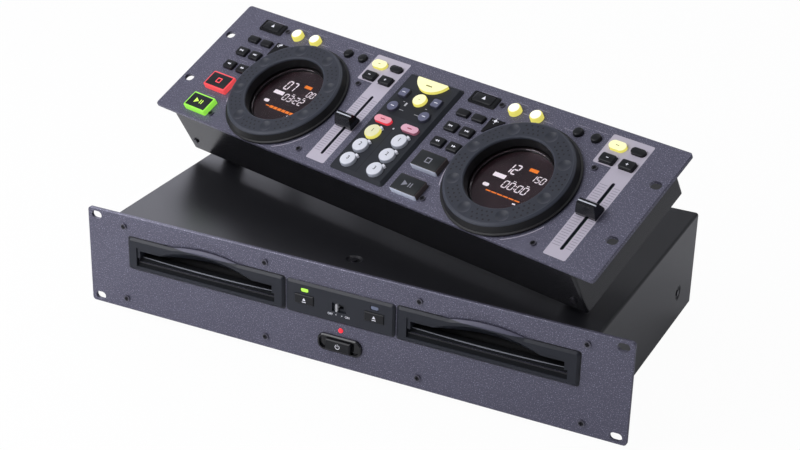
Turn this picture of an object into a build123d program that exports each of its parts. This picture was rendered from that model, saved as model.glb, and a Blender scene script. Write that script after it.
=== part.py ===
import os
from math import cos, radians, sin

from build123d import *

# Lengths in millimetres, angles in degrees. Three layouts are used:
#   player    X right, Y back, Z up, from the foot of the middle of the front panel
#   face      u right, v up, w out of the player's front panel, from the same point
#   console   u right, v up the slope, w out of the controller's panel, from its middle
# Deck a is the left one and deck b the right one, on both units.

# Rack fittings shared by both units
rack_width = 482.6
rack_pitch = 465.1
rack_slot_length = 10.0
rack_slot_width = 7.0
panel_thick = 3.0
panel_corner = 3.0
panel_edge = 0.5

# Clearances
seam = 0.2            # between sheet parts that are screwed together
fit_gap = 0.3         # round keys, spigots and lenses
shaft_gap = 0.06      # radial, round anything that turns or slides in a bore
rest_gap = 0.3        # under a part that stands loose on another

# Player body
player_height = 88.1
player_pitch = 76.2
panel_lift = 5.5      # foot of the front panel above the floor
body_width = 427.4
body_depth = 240.4
body_foot = 3.5       # body floor above the foot of the panel
body_drop = 0.9       # body top below the top of the panel
sheet = 1.2
sheet_bend = 2.5
flange_height = 14.0
foot_radius = 11.0
foot_taper = 1.5
foot_x = 175.0
foot_y = (35.0, 205.0)
dimple_radius = 7.0
dimple_depth = 1.2
top_dimple_y = 22.5
side_dimple_y = 201.0
side_dimple_z = 29.4

# Player front
deck_pitch = 251.0    # between the two disc slots
bezel_width = 150.5
bezel_foot = 40.5
bezel_top = 69.5
bezel_corner = 3.0
bezel_proud = 2.5
bezel_bevel = 1.9
arch_width = 84.0
arch_rise = 3.4
throat_width = 127.0
throat_foot = 52.2
throat_sag = 1.2
throat_top = 59.0
recess_foot = 45.0
recess_margin = 3.0
recess_depth = 1.0
ramp_depth = 4.0
spigot_wall = 2.0
spigot_depth = 9.0
scoop_width = 93.0
scoop_top = 68.8
panel_scoop_rise = 11.0
panel_scoop_depth = 1.5
block_width = 97.5
block_spigot_inset = 4.0
block_spigot_depth = 6.0
eject_x = 31.2
eject_v = 54.8
eject_width = 16.8
eject_height = 7.8
eject_proud = 0.9
lamp_v = 62.8
lamp_width = 6.8
lamp_height = 3.2
mode_width = 12.5
mode_height = 7.6
mode_recess = 2.0
mode_slot_width = 2.0
mode_knob_width = 1.8
mode_travel = 4.0
power_v = 21.0
power_frame_width = 39.5
power_frame_height = 14.6
power_frame_corner = 6.0
power_rim = 2.0
power_width = 22.0
power_height = 9.6
power_proud = 5.0
power_lamp_u = 0.5
power_lamp_v = 33.7
power_lamp_radius = 2.0
lip_width = 1.0       # retaining flange round a key
lip_thick = 1.2
key_corner = 0.8
screw_inner_x = 68.8
screw_outer_x = 205.2
screw_columns = (screw_inner_x, screw_outer_x)
screw_rows = (10.0, 77.6)
screw_head_radius = 2.7
screw_head_height = 1.3
screw_radius = 1.5
screw_length = 5.0
control_screw_head = 2.5

# Disc drives
disc_level = 56.0
frame_wall = 2.0
frame_width = 131.0
frame_front = 10.0
frame_depth = 152.0
frame_floor = 24.0
frame_floor_thick = 2.5
frame_top = 62.0
leg_size = 9.0
roller_radius = 4.5
roller_length = 116.0
roller_drop = 2.4     # roller top below the disc's middle
roller_y = 19.0
axle_radius = 1.5
spindle_y = 82.0
hub_radius = 14.0
hub_height = 3.0
motor_radius = 12.0
motor_height = 11.0
rod_spacing = 46.0
rod_radius = 1.5
rod_level = 43.0
sled_width = 54.0
sled_depth = 22.0
sled_height = 8.0
sled_start = 26.0     # lens behind the spindle at rest
sled_travel = 32.0
lens_radius = 3.2
lens_height = 3.0

# Player inner parts and rear
board_thick = 1.6
main_board_width = 106.0
main_board_front = 30.0
main_board_back = 14.4    # ahead of the rear wall
main_board_level = 12.0
pillar_radius = 3.0
pillar_inset = 8.0
chip_size = 22.0
chip_height = 2.5
chip_pitch = 50.0
capacitor_radius = 6.0
capacitor_height = 22.0
capacitor_pitch = 20.0
transformer_x = 100.0
transformer_ahead = 11.0  # free depth between the drive and the transformer
transformer_behind = 20.2 # free depth between the transformer and the rear wall
transformer_size = 46.0
transformer_height = 44.0
jack_spacing = 16.0
jack_columns = 2
jack_x = -150.0
jack_low = 32.0
jack_high = 50.0
jack_levels = (jack_low, jack_high)
jack_radius = 4.1
jack_length = 8.0
jack_plate_margin = 9.0
socket_outer_x = -40.0
socket_inner_x = -10.0
socket_x = (socket_outer_x, socket_inner_x)
socket_level = 41.0
socket_radius = 7.0
socket_wall = 1.2
socket_depth = 6.0
socket_body = 20.0
socket_body_depth = 12.0
jack_body_depth = 8.0
link_level = -36.0     # controller sockets, below the panel's front
link_body = 18.0
link_depth = 8.0
link_proud = 1.0
inlet_x = 184.0
inlet_level = 41.0
inlet_width = 27.0
inlet_height = 19.5

# Controller
panel_height = 132.5
panel_slot_pitch = 57.15
panel_slot_width = 7.5
tilt = 29.24
yaw = -16.62
controller_x = -4.0
controller_y = 107.1
case_width = 442.0
case_height = 129.0
case_depth = 52.0     # from the panel's front down to the case's back
case_wall = 1.8
hole_reach = 9.0       # length of the cutters that open the case's walls
case_corner = 2.5
post_size = 8.0
pad_radius = 9.5
pad_height = 13.5
pad_x = 194.0
pad_v = 43.5
half_decks = 123.75
console_x = 0.8
console_foot = -60.0
console_head = 52.5
console_half = 29.5
console_rise = 3.0
console_bevel = 2.8
console_corner = 3.2
board_level = -23.0
control_board_inset = 17.2   # each end, inside the case
control_board_margin = 6.7   # along its upper and lower edges
case_screw_inset = 9.6
case_screw_rise = 12.7

# Jog dial and display, from the deck's middle
jog_u = 2.1
jog_v = -11.0
jog_radius = 55.0
jog_lip_radius = 56.5
jog_top_radius = 51.0
jog_hole_radius = 36.0
jog_rise = 9.8
jog_lift = 0.8
jog_lip = 1.4
tube_radius = 43.5
tube_bore = 40.0
tube_depth = 14.0
dimple_count = 8
dimple_ring = 44.0
finger_radius = 5.5
finger_depth = 1.3
window_radius = 33.4
window_thick = 1.4
window_drop = 1.0
display_drop = 5.0
barrel_wall = 0.8

# Corner lens beside the jog dial
corner_lens_u = -46.5
corner_lens_v = 29.0
corner_lens_width = 14.0
corner_lens_height = 15.5
corner_lens_clear = 7.5      # from the jog dial's side

# Tempo fader
fader_u = 78.75
fader_v = -16.75
fader_slot_length = 69.5
fader_slot_width = 3.0
knob_length = 18.0
knob_width = 12.0
knob_height = 11.5
knob_top_width = 5.6
knob_lift = 0.8
stem_width = 1.8
stem_length = 7.0
stem_depth = 9.0
track_width = 9.0
track_margin = 6.0
tempo_rest = {"a": 1.2, "b": 3.6}     # knob above the middle of its slot
end_margin = 1.0

# Tilt stand
wire_radius = 2.5
stand_half = 100.0
stand_bend = 12.0
ear_bend = 5.0
stand_v = 45.0
stand_drop = 5.0      # wire below the case's back
sleeve_radius = 4.2
sleeve_length = 120.0
clip_width = 9.0
clip_wall = 2.2

deck_sign = {"a": -1, "b": 1}
face = Rot(90, 0, 0)
body_top = player_height - body_drop


def block(x, y, z):
    """Box between three (low, high) pairs."""
    middle = Pos((x[0] + x[1]) / 2, (y[0] + y[1]) / 2, (z[0] + z[1]) / 2)
    return middle * Box(x[1] - x[0], y[1] - y[0], z[1] - z[0])


def prism(outline, low, high):
    """Flat outline raised from level low to level high."""
    return extrude(Pos(0, 0, low) * outline, high - low)


def rounded(width, height, corner, u=0.0, v=0.0, grow=0.0):
    return Pos(u, v) * RectangleRounded(width + 2 * grow, height + 2 * grow, corner + grow)


def bevelled(width, height, corner, u=0.0, v=0.0):
    """Rectangle with its corners cut off."""
    return Pos(u, v) * chamfer(Rectangle(width, height).vertices(), corner)


def rod(radius, low, high):
    return Pos(0, 0, (low + high) / 2) * Cylinder(radius, high - low)


def top_edges(shape):
    return shape.faces().sort_by(Axis.Z)[-1].outer_wire().edges()


def segment(chord, rise, foot, u=0.0):
    """Round arch standing on level foot."""
    radius = (chord ** 2 / 4 + rise ** 2) / (2 * rise)
    arc = ThreePointArc((u - chord / 2, foot), (u, foot + rise), (u + chord / 2, foot))
    return make_face(arc + Line(arc @ 1, arc @ 0)), radius


def screw(head_radius=screw_head_radius):
    """Plain head above zero, shank below."""
    return rod(head_radius, 0, screw_head_height) + rod(screw_radius, -screw_length, 0)


def rack_slots(height_pitch, width):
    places = [Pos(x * rack_pitch / 2, y * height_pitch / 2) for x in (-1, 1) for y in (-1, 1)]
    return [place * SlotOverall(rack_slot_length, width) for place in places]


# ---------------------------------------------------------------- player front, face layout

def bezel_u(deck):
    return deck_sign[deck] * deck_pitch / 2


def spigot_outline(deck, grow=0.0):
    """Rectangle that passes through the panel behind a slot bezel."""
    low = throat_foot - throat_sag - spigot_wall
    high = scoop_top - 1.0
    width = throat_width + 2 * spigot_wall
    return Pos(bezel_u(deck), (low + high) / 2) * Rectangle(width + 2 * grow, high - low + 2 * grow)


def block_spigot(grow=0.0):
    width = block_width - 2 * block_spigot_inset + 2 * grow
    height = bezel_top - bezel_foot - 2 * block_spigot_inset + 2 * grow
    return Pos(0, (bezel_top + bezel_foot) / 2) * Rectangle(width, height)


def power_spigot(grow=0.0):
    inset = power_rim + 2.0 - grow
    return Pos(0, power_v) * Rectangle(power_frame_width - 2 * inset, power_frame_height - 2 + 2 * grow)


def finger_scoop(deck):
    """Shallow hollow in the panel above a slot, where fingertips reach the disc."""
    chord = scoop_width * 0.9
    radius = (chord ** 2 / 4 + panel_scoop_rise ** 2) / (2 * panel_scoop_rise)
    inner = radius - panel_scoop_rise
    reach = (radius ** 2 - inner ** 2) / (2 * panel_scoop_depth)
    centre_v = bezel_top + panel_scoop_rise - radius
    ball = Pos(bezel_u(deck), centre_v, reach) * Sphere((reach ** 2 + radius ** 2) ** 0.5)
    half = chord / 2 + 2
    limits = block(
        (bezel_u(deck) - half, bezel_u(deck) + half),
        (bezel_top - 3, bezel_top + panel_scoop_rise + 2),
        (-panel_thick, 1),
    )
    return ball & limits


def front_panel():
    panel = prism(rounded(rack_width, player_height, panel_corner, 0, player_height / 2), -panel_thick, 0)
    panel = chamfer(top_edges(panel), panel_edge)
    holes = [Pos(0, player_height / 2) * slot for slot in rack_slots(player_pitch, rack_slot_width)]
    holes += [spigot_outline(deck, fit_gap) for deck in deck_sign]
    holes += [block_spigot(fit_gap), power_spigot(fit_gap)]
    holes += [Pos(power_lamp_u, power_lamp_v) * Circle(power_lamp_radius + fit_gap / 3)]
    holes += [Pos(*place) * Circle(screw_radius + fit_gap / 3) for place in front_screw_places()]
    for hole in holes:
        panel -= prism(hole, -panel_thick - 1, 1)
    for deck in deck_sign:
        panel -= finger_scoop(deck)
    return face * panel


def front_screw_places():
    return [(side * u, v) for side in (-1, 1) for u in screw_columns for v in screw_rows]


def slot_bezel(deck):
    """Bevelled frame with an arched brow, a sloping ramp under the slot and a scoop over it."""
    u = bezel_u(deck)
    middle = (bezel_foot + bezel_top) / 2
    brow, _ = segment(arch_width, arch_rise + bezel_corner, bezel_top - bezel_corner, u)
    outline = rounded(bezel_width, bezel_top - bezel_foot, bezel_corner, u, middle) + brow
    frame = chamfer(top_edges(prism(outline, 0, bezel_proud)), bezel_bevel)
    frame += prism(spigot_outline(deck), -spigot_depth, 0)
    recess_width = throat_width + 2 * recess_margin
    recess_height = throat_top + recess_margin - recess_foot
    recess = Pos(u, recess_foot + recess_height / 2) * Rectangle(recess_width, recess_height)
    recess_floor = bezel_proud - recess_depth
    frame -= prism(recess, recess_floor, bezel_proud + 1)
    frame -= prism(throat(u), -spigot_depth - 1, bezel_proud + 1)
    frame -= brow_scoop(u)
    ramp = Polyline(
        (recess_floor + 1, recess_foot), (recess_floor + 1, throat_foot),
        (recess_floor - ramp_depth, throat_foot), (recess_floor, recess_foot), close=True,
    )
    ramp_cut = extrude(Plane.YZ * make_face(ramp_profile(ramp)), recess_width / 2 - 0.5, both=True)
    frame -= Pos(u, 0, 0) * ramp_cut
    return face * frame


def ramp_profile(ramp):
    """Turns a (w, v) profile into the (v, w) order of the plane that it is drawn on."""
    return mirror(Rot(0, 0, 90) * ramp, about=Plane.YZ)


def throat(u):
    """Slot with a lip that sags in the middle."""
    half = throat_width / 2
    lip = ThreePointArc((u - half, throat_foot), (u, throat_foot - throat_sag), (u + half, throat_foot))
    rest = Polyline(lip @ 1, (u + half, throat_top), (u - half, throat_top), lip @ 0)
    return make_face(lip + rest)


def brow_scoop(u):
    """Part of a cone that arches over the slot at the front and dies out at the back."""
    rise = scoop_top - throat_top
    radius = (scoop_width ** 2 / 4 + rise ** 2) / (2 * rise)
    depth = bezel_proud + spigot_depth
    cone = Cone(radius - rise, radius, depth)
    cone = Pos(u, scoop_top - radius, bezel_proud - depth / 2) * cone
    half = scoop_width / 2
    return cone & block((u - half, u + half), (throat_top - 1, scoop_top + 1), (-depth, bezel_proud + 1))


def centre_bezel():
    middle = (bezel_foot + bezel_top) / 2
    outline = rounded(block_width, bezel_top - bezel_foot, bezel_corner, 0, middle)
    frame = chamfer(top_edges(prism(outline, 0, bezel_proud)), bezel_bevel)
    frame += prism(block_spigot(), -block_spigot_depth, 0)
    for side in (-1, 1):
        frame -= prism(eject_outline(side, fit_gap), -9, 9)
        frame -= prism(lamp_outline(side, fit_gap / 3), -9, 9)
    mode = Pos(0, eject_v) * Rectangle(mode_width, mode_height)
    frame -= prism(mode, bezel_proud - mode_recess, bezel_proud + 1)
    slot = Rectangle(mode_travel + mode_knob_width + 2 * fit_gap, mode_slot_width + 2 * fit_gap)
    frame -= prism(Pos(0, eject_v) * slot, -9, 9)
    return face * frame


def eject_outline(side, grow=0.0):
    return Pos(side * eject_x, eject_v) * Rectangle(eject_width + 2 * grow, eject_height + 2 * grow)


def lamp_outline(side, grow=0.0):
    return Pos(side * eject_x, lamp_v) * Rectangle(lamp_width + 2 * grow, lamp_height + 2 * grow)


def power_outline(grow=0.0):
    return Pos(0, power_v) * Rectangle(power_width + 2 * grow, power_height + 2 * grow)


def lipped(outline, wider, low, high, lip_top):
    """Button body with a retaining flange behind the opening that it works in."""
    return prism(outline, low, high) + prism(wider, lip_top - lip_thick, lip_top)


def eject_button(deck):
    side = deck_sign[deck]
    lip_top = -block_spigot_depth - rest_gap
    top = bezel_proud + eject_proud
    button = lipped(eject_outline(side), eject_outline(side, lip_width), lip_top - lip_thick, top, lip_top)
    return face * chamfer(top_edges(button), 0.4)


def mode_switch():
    """Slide switch thumb, at the left end of its slot."""
    u = -mode_travel / 2
    thumb = Pos(u, eject_v) * Rectangle(mode_knob_width, mode_height - 2 * fit_gap - 0.6)
    stem = Pos(u, eject_v) * Rectangle(mode_knob_width - fit_gap, mode_slot_width)
    foot = Pos(u, eject_v) * Rectangle(mode_knob_width + 2, mode_slot_width + 2)
    base = bezel_proud - mode_recess + rest_gap
    knob = prism(thumb, base, bezel_proud + 0.8)
    knob += prism(stem, -block_spigot_depth - 2, base)
    knob += prism(foot, -block_spigot_depth - 2, -block_spigot_depth - rest_gap)
    return face * knob


def power_frame():
    """Oval dish with a raised rim round the power button."""
    outline = rounded(power_frame_width, power_frame_height, power_frame_corner, 0, power_v)
    frame = chamfer(top_edges(prism(outline, 0, bezel_proud)), 0.9)
    frame += prism(power_spigot(), -panel_thick - 2, 0)
    dish = rounded(power_frame_width, power_frame_height, power_frame_corner, 0, power_v, -power_rim)
    frame -= prism(dish, 0.6, bezel_proud + 1)
    frame -= prism(power_outline(fit_gap), -9, 9)
    return face * frame


def power_button():
    lip_top = -panel_thick - 2 - rest_gap
    button = lipped(power_outline(), power_outline(lip_width), lip_top - lip_thick, power_proud, lip_top)
    return face * chamfer(top_edges(button), 0.8)


def indicator_lamps():
    lamps = []
    for side in (-1, 1):
        lamps.append(prism(lamp_outline(side), -block_spigot_depth, bezel_proud - 0.3))
    dome = rod(power_lamp_radius, -panel_thick, power_lamp_radius * 0.6)
    lamps.append(Pos(power_lamp_u, power_lamp_v) * chamfer(top_edges(dome), power_lamp_radius * 0.4))
    return [face * lamp for lamp in lamps]


# ---------------------------------------------------------------- player body, player layout

def chassis():
    """Bent tray: floor, front wall behind the panel, rear wall and low side flanges."""
    half = body_width / 2 - sheet - seam
    front = panel_thick + seam
    inner_top = body_top - sheet - seam
    outer = block((-half, half), (front, body_depth), (body_foot, inner_top))
    outer = fillet(outer.edges().filter_by(Axis.Y).group_by(Axis.Z)[-1], sheet_bend - sheet)
    tray = outer - block(
        (-half + sheet, half - sheet), (front + sheet, body_depth - sheet), (body_foot + sheet, inner_top + 1)
    )
    cut_y = (front + sheet, body_depth - sheet)
    tray -= block((-half - 1, half + 1), cut_y, (body_foot + flange_height, inner_top + 1))
    windows = [spigot_outline(deck, 2 * fit_gap) for deck in deck_sign]
    windows += [block_spigot(2 * fit_gap), power_spigot(2 * fit_gap)]
    windows += [Pos(*place) * Circle(screw_radius + fit_gap / 3) for place in front_screw_places()]
    for window in windows:
        tray -= face * prism(window, -front - sheet - 1, -front + 1)
    for opening in rear_openings():
        tray -= opening
    return tray


def rear_openings():
    """Holes in the rear wall for sockets and the mains inlet."""
    through = body_depth - sheet / 2
    holes = []
    for x, z in jack_places():
        holes.append(Pos(x, through, z) * Rot(90, 0, 0) * Cylinder(jack_radius + fit_gap, 4))
    for x in socket_x:
        holes.append(Pos(x, through, socket_level) * Rot(90, 0, 0) * Cylinder(socket_radius + fit_gap, 4))
    inlet = block(
        (inlet_x - inlet_width / 2 - fit_gap, inlet_x + inlet_width / 2 + fit_gap),
        (through - 2, through + 2),
        (inlet_level - inlet_height / 2 - fit_gap, inlet_level + inlet_height / 2 + fit_gap),
    )
    return holes + [inlet]


def jack_places():
    first = jack_x - (jack_columns - 1) * jack_spacing / 2
    return [(first + i * jack_spacing, z) for i in range(jack_columns) for z in jack_levels]


def dimple_cups():
    """Embossed cups in the cover, each as its place on the outer skin."""
    side = body_width / 2
    return [
        Pos(0, top_dimple_y, body_top),
        Pos(side, side_dimple_y, side_dimple_z) * Rot(0, 90, 0),
        Pos(-side, side_dimple_y, side_dimple_z) * Rot(0, -90, 0),
    ]


def top_cover():
    """Sheet folded over the top and both sides, with screw dimples pressed into it."""
    front = panel_thick + seam
    section = Pos(0, (body_foot + body_top) / 2) * Rectangle(body_width, body_top - body_foot)
    section = fillet(section.vertices().group_by(Axis.Y)[-1], sheet_bend)
    inner = Pos(0, (body_foot + body_top) / 2 - sheet) * Rectangle(body_width - 2 * sheet, body_top - body_foot)
    inner = fillet(inner.vertices().group_by(Axis.Y)[-1], sheet_bend - sheet)
    cover = Rot(90, 0, 0) * extrude(section - inner, front - body_depth)
    cover = Pos(0, front - cover.bounding_box().min.Y, 0) * cover
    for cup in dimple_cups():
        cover += cup * Pos(0, 0, -sheet) * dimple_form(sheet / 2, dimple_depth)
    for cup in dimple_cups():
        cover -= cup * dimple_form(0.0, dimple_depth)
        cover -= cup * rod(screw_radius + fit_gap / 3, -9, 1)
    return cover


def dimple_form(grow, depth):
    """Blunt cone that widens to the skin, standing below zero."""
    return Pos(0, 0, -depth / 2) * Cone(dimple_radius - 2 + grow, dimple_radius + grow, depth)


def player_screws():
    screws = []
    for u, v in front_screw_places():
        screws.append(face * Pos(u, v) * screw())
    for cup in dimple_cups():
        screws.append(cup * Pos(0, 0, -dimple_depth) * screw())
    return screws


def player_feet():
    feet = []
    height = body_foot + panel_lift
    for x in (-foot_x, foot_x):
        for y in foot_y:
            foot = Pos(0, 0, -height / 2) * Cone(foot_radius - foot_taper, foot_radius, height)
            feet.append(Pos(x, y, body_foot) * foot)
    return feet


def rear_sockets():
    """Phono jacks on one board behind the rear wall, and two round link sockets."""
    wall = body_depth - sheet
    places = jack_places()
    xs = [x for x, z in places]
    zs = [z for x, z in places]
    base = block(
        (min(xs) - jack_plate_margin, max(xs) + jack_plate_margin),
        (wall - jack_body_depth, wall),
        (min(zs) - jack_plate_margin, max(zs) + jack_plate_margin),
    )
    for x, z in places:
        barrel = rod(jack_radius, 0, jack_length + sheet) - rod(jack_radius * 0.36, 1, jack_length + 9)
        base += Pos(x, wall, z) * Rot(-90, 0, 0) * barrel
    sockets = [base]
    for x in socket_x:
        half = socket_body / 2
        body = block((-half, half), (-socket_body_depth, 0), (-half, half))
        bore = rod(socket_radius - socket_wall, -socket_depth, sheet + 2)
        barrel = Rot(-90, 0, 0) * (rod(socket_radius, 0, sheet + link_proud) - bore)
        socket = body - Rot(-90, 0, 0) * bore + barrel
        sockets.append(Pos(x, wall, socket_level) * socket)
    return sockets


def power_inlet():
    """Three-pin appliance inlet let into the rear wall."""
    wall = body_depth - sheet
    half = inlet_width / 2
    tall = inlet_height / 2
    body = block((-half, half), (-16, sheet + 1.5), (-tall, tall))
    well = Rot(-90, 0, 0) * prism(bevelled(inlet_width - 3, inlet_height - 3.5, 2.5), -13, 9)
    body -= well
    for x, z in ((-7, -2), (0, 2), (7, -2)):
        body += block((x - 1, x + 1), (-14, -3), (z - 2, z + 2))
    rim = block((-half - 2, half + 2), (sheet, sheet + 1.5), (-tall - 2, tall + 2))
    return Pos(inlet_x, wall, inlet_level) * (body + (rim - well))


def main_board():
    """Circuit board on four pillars, with its larger parts."""
    floor = body_foot + sheet
    half = main_board_width / 2
    low = main_board_front
    high = body_depth - main_board_back
    top = main_board_level + board_thick
    board = block((-half, half), (low, high), (main_board_level, top))
    for x in (-half + pillar_inset, half - pillar_inset):
        for y in (low + pillar_inset, high - pillar_inset):
            board += Pos(x, y, 0) * rod(pillar_radius, floor, main_board_level)
    for i in range(3):
        place = Pos(-half * 0.4, low + chip_size * 1.5 + i * chip_pitch)
        board += place * prism(Rectangle(chip_size, chip_size), top, top + chip_height)
    for i in range(4):
        place = Pos(half * 0.45, high - (i + 1.5) * capacitor_pitch, 0)
        board += place * rod(capacitor_radius, top, top + capacitor_height)
    return board


def power_transformer():
    """Laminated core with the winding bobbin through it."""
    half = transformer_size / 2
    floor = body_foot + sheet
    core = block((-half, half), (-half * 0.6, half * 0.6), (floor, floor + transformer_height))
    middle = floor + transformer_height / 2
    bobbin = block((-half * 0.68, half * 0.68), (-half, half), (middle - half * 0.62, middle + half * 0.62))
    return Pos(transformer_x, transformer_middle(), 0) * (core + bobbin)


def transformer_middle():
    """Depth of its middle, with the free depth behind the drive shared out before and behind it."""
    drive_back = frame_front + frame_depth
    free = body_depth - sheet - drive_back - transformer_size
    share = transformer_ahead / (transformer_ahead + transformer_behind)
    return drive_back + share * free + transformer_size / 2


# ---------------------------------------------------------------- disc drives, player layout

def drive_place(deck):
    return Pos(bezel_u(deck), 0, 0)


def roller_level():
    return disc_level - roller_drop - roller_radius


def drive_frame(deck):
    """Moulded drive deck on four legs, with guide rods and the spindle motor."""
    half = frame_width / 2
    back = frame_front + frame_depth
    floor_top = frame_floor + frame_floor_thick
    frame = block((-half, half), (frame_front, back), (frame_floor, frame_top))
    inner = (-half + frame_wall, half - frame_wall)
    frame -= block(inner, (frame_front - 1, back - frame_wall), (floor_top, frame_top + 1))
    frame += block(inner, (frame_front, frame_front + frame_wall), (floor_top, roller_level() - roller_radius))
    window_y = (spindle_y + motor_radius + 4, back - 14)
    frame -= block((-rod_spacing / 2 + 5, rod_spacing / 2 - 5), window_y, (frame_floor - 1, floor_top + 1))
    for x in (-half + leg_size / 2, half - leg_size / 2):
        for y in (frame_front + leg_size / 2, back - leg_size / 2):
            leg = Rectangle(leg_size, leg_size)
            frame += Pos(x, y) * prism(leg, body_foot + sheet, frame_floor)
    bridge = block(inner, (spindle_y - 7, spindle_y + 7), (frame_top - frame_wall, frame_top))
    frame += bridge
    for y in rod_ends():
        rib = block((-rod_spacing / 2 - 5, rod_spacing / 2 + 5), (y - 1.5, y + 1.5), (floor_top, rod_level + 4))
        frame += rib
    for side in (-1, 1):
        frame -= Pos(side * rod_spacing / 2, 0, rod_level) * along_y(rod_radius, *rod_span())
    axle = Pos(0, roller_y, roller_level()) * Rot(0, 90, 0) * Cylinder(axle_radius + shaft_gap, frame_width + 2)
    frame -= axle
    rods = [Pos(side * rod_spacing / 2, 0, rod_level) * along_y(rod_radius, *rod_span()) for side in (-1, 1)]
    motor = rod(motor_radius, floor_top, floor_top + motor_height)
    motor -= rod(axle_radius + shaft_gap, floor_top + 1, frame_top)
    return [drive_place(deck) * solid for solid in [frame, *rods, Pos(0, spindle_y) * motor]]


def along_y(radius, low, high):
    return Pos(0, (low + high) / 2, 0) * Rot(90, 0, 0) * Cylinder(radius, high - low)


def rod_ends():
    """Middles of the two ribs that hold the guide rods."""
    clear = sled_depth / 2 + 4
    return spindle_y + sled_start - clear, spindle_y + sled_start + sled_travel + clear


def rod_span():
    first, last = rod_ends()
    return first - 1.5, last + 1.5


def loading_roller(deck):
    roller = Cylinder(roller_radius, roller_length) + Cylinder(axle_radius, frame_width - 2 * fit_gap)
    return drive_place(deck) * Pos(0, roller_y, roller_level()) * Rot(0, 90, 0) * roller


def spindle(deck):
    """Turntable hub and the motor shaft below it."""
    hub_top = disc_level - roller_drop
    low = frame_floor + frame_floor_thick + motor_height
    hub = rod(hub_radius, hub_top - hub_height, hub_top - 1)
    hub += Pos(0, 0, hub_top - 0.5) * Cone(7.4, 6.6, 1.0)
    shaft = rod(axle_radius, low - motor_height + 1.5, hub_top - hub_height)
    return drive_place(deck) * Pos(0, spindle_y) * (hub + shaft)


def pickup_sled(deck):
    """Laser carriage that runs back along the guide rods, with its lens."""
    half = sled_width / 2
    sled = block((-half, half), (-sled_depth / 2, sled_depth / 2), (-sled_height / 2, sled_height / 2))
    for side in (-1, 1):
        bore = along_y(rod_radius + shaft_gap, -sled_depth, sled_depth)
        sled -= Pos(side * rod_spacing / 2, 0, 0) * bore
        notch = block((-4, 4), (-sled_depth / 4, sled_depth / 4), (-sled_height, sled_height))
        sled -= Pos(side * (half - 4), 0, 0) * notch
    lens = rod(lens_radius, sled_height / 2, sled_height / 2 + lens_height)
    return drive_place(deck) * Pos(0, spindle_y + sled_start, rod_level) * (sled + lens)


# ---------------------------------------------------------------- controller, console layout

def deck_u(deck):
    return deck_sign[deck] * half_decks


def console_level():
    """Height of the panel's middle, from the pads that stand on the player."""
    pad_drop = (case_depth + pad_height) * cos(radians(tilt)) + (pad_v + pad_radius) * sin(radians(tilt))
    return body_top + rest_gap + pad_drop


def console():
    return Pos(controller_x, controller_y, console_level()) * Rot(0, 0, yaw) * Rot(tilt, 0, 0)


left_keys = (-79.3, -63.0)
search_rows = (31.5, 15.3, -2.2)
tempo_inner_u = 60.8
tempo_outer_u = 79.0
tempo_keys_u = (tempo_inner_u, tempo_outer_u)
hot_cue_rows = (-16.8, -33.0, -49.2)
key_column = 14.8

deck_keys = {
    "cue_button": [("block", 27.0, 17.0, -70.8, -24.0, 5.0)],
    "play_button": [("block", 27.0, 17.0, -70.8, -51.0, 5.0)],
    "deck_eject_button": [("block", 20.0, 9.0, -72.0, 50.5, 2.2)],
    "search_keys": [("block", 12.0, 7.0 if row == search_rows[0] else 9.0, u, row, 2.6)
                    for row in search_rows for u in left_keys],
    "loop_keys": [
        ("round", 11.0, 11.0, -39.5, 50.0, 5.0), ("round", 11.0, 11.0, -18.0, 50.5, 5.0),
        ("round", 8.5, 8.5, 23.0, 50.0, 3.0), ("round", 8.5, 8.5, 40.0, 50.0, 3.0),
    ],
    "tempo_keys": [
        ("oval", 15.0, 8.4, tempo_keys_u[0], 49.5, 2.6), ("oval", 13.0, 6.2, tempo_keys_u[1], 50.5, 2.2),
        ("block", 13.0, 8.5, tempo_keys_u[0], 35.8, 3.0), ("block", 13.0, 8.5, tempo_keys_u[1], 35.8, 3.0),
    ],
}

console_keys = {
    "sync_button": [("half", 33.0, 12.4, 0.0, 48.4, 2.6)],
    "counter_keys": [("round", 12.4, 12.4, 1.5, 26.8, 2.6), ("block", 8.6, 8.6, -17.6, 29.2, 2.2),
                     ("block", 8.6, 8.6, 17.6, 29.2, 2.2), ("round", 10.2, 10.2, -17.2, 13.0, 2.2),
                     ("round", 10.2, 10.2, 17.2, 13.0, 2.2)],
    "record_keys": [("oval", 17.4, 6.8, side * key_column, -2.6, 2.4) for side in (-1, 1)],
    "hot_cue_keys": [("round", 14.0, 14.0, side * key_column, row, 2.8)
                     for row in hot_cue_rows for side in (-1, 1)],
}


def key_outline(kind, length, width, u, v, grow=0.0):
    if kind == "round":
        return Pos(u, v) * Circle(length / 2 + grow)
    if kind == "oval":
        return Pos(u, v) * SlotOverall(length + 2 * grow, width + 2 * grow)
    if kind == "half":
        bow, _ = segment(length + 2 * grow, width + 2 * grow, 0)
        return Pos(u, v + grow) * Rot(0, 0, 180) * bow
    return bevelled(length + 2 * grow, width + 2 * grow, key_corner, u, v)


def key_cap(key, base=0.0):
    """Key from below the panel up through it; base is the level that it stands proud of."""
    kind, length, width, u, v, rise = key
    lip_top = -panel_thick - rest_gap
    cap = prism(key_outline(kind, length, width, u, v), lip_top - lip_thick, base + rise)
    bevel = 0.9 if rise > 4 else 0.5
    cap = chamfer(top_edges(cap), bevel)
    return cap + prism(lip_outline(key), lip_top - lip_thick, lip_top)


def lip_outline(key):
    kind, length, width, u, v, rise = key
    if kind == "block":
        return Pos(u, v) * Rectangle(length + 2 * lip_width, width + 2 * lip_width)
    return key_outline(kind, length, width, u, v, lip_width)


def key_hole(key):
    kind, length, width, u, v, rise = key
    return prism(key_outline(kind, length, width, u, v, fit_gap), -panel_thick - 1, console_rise + 1)


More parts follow.
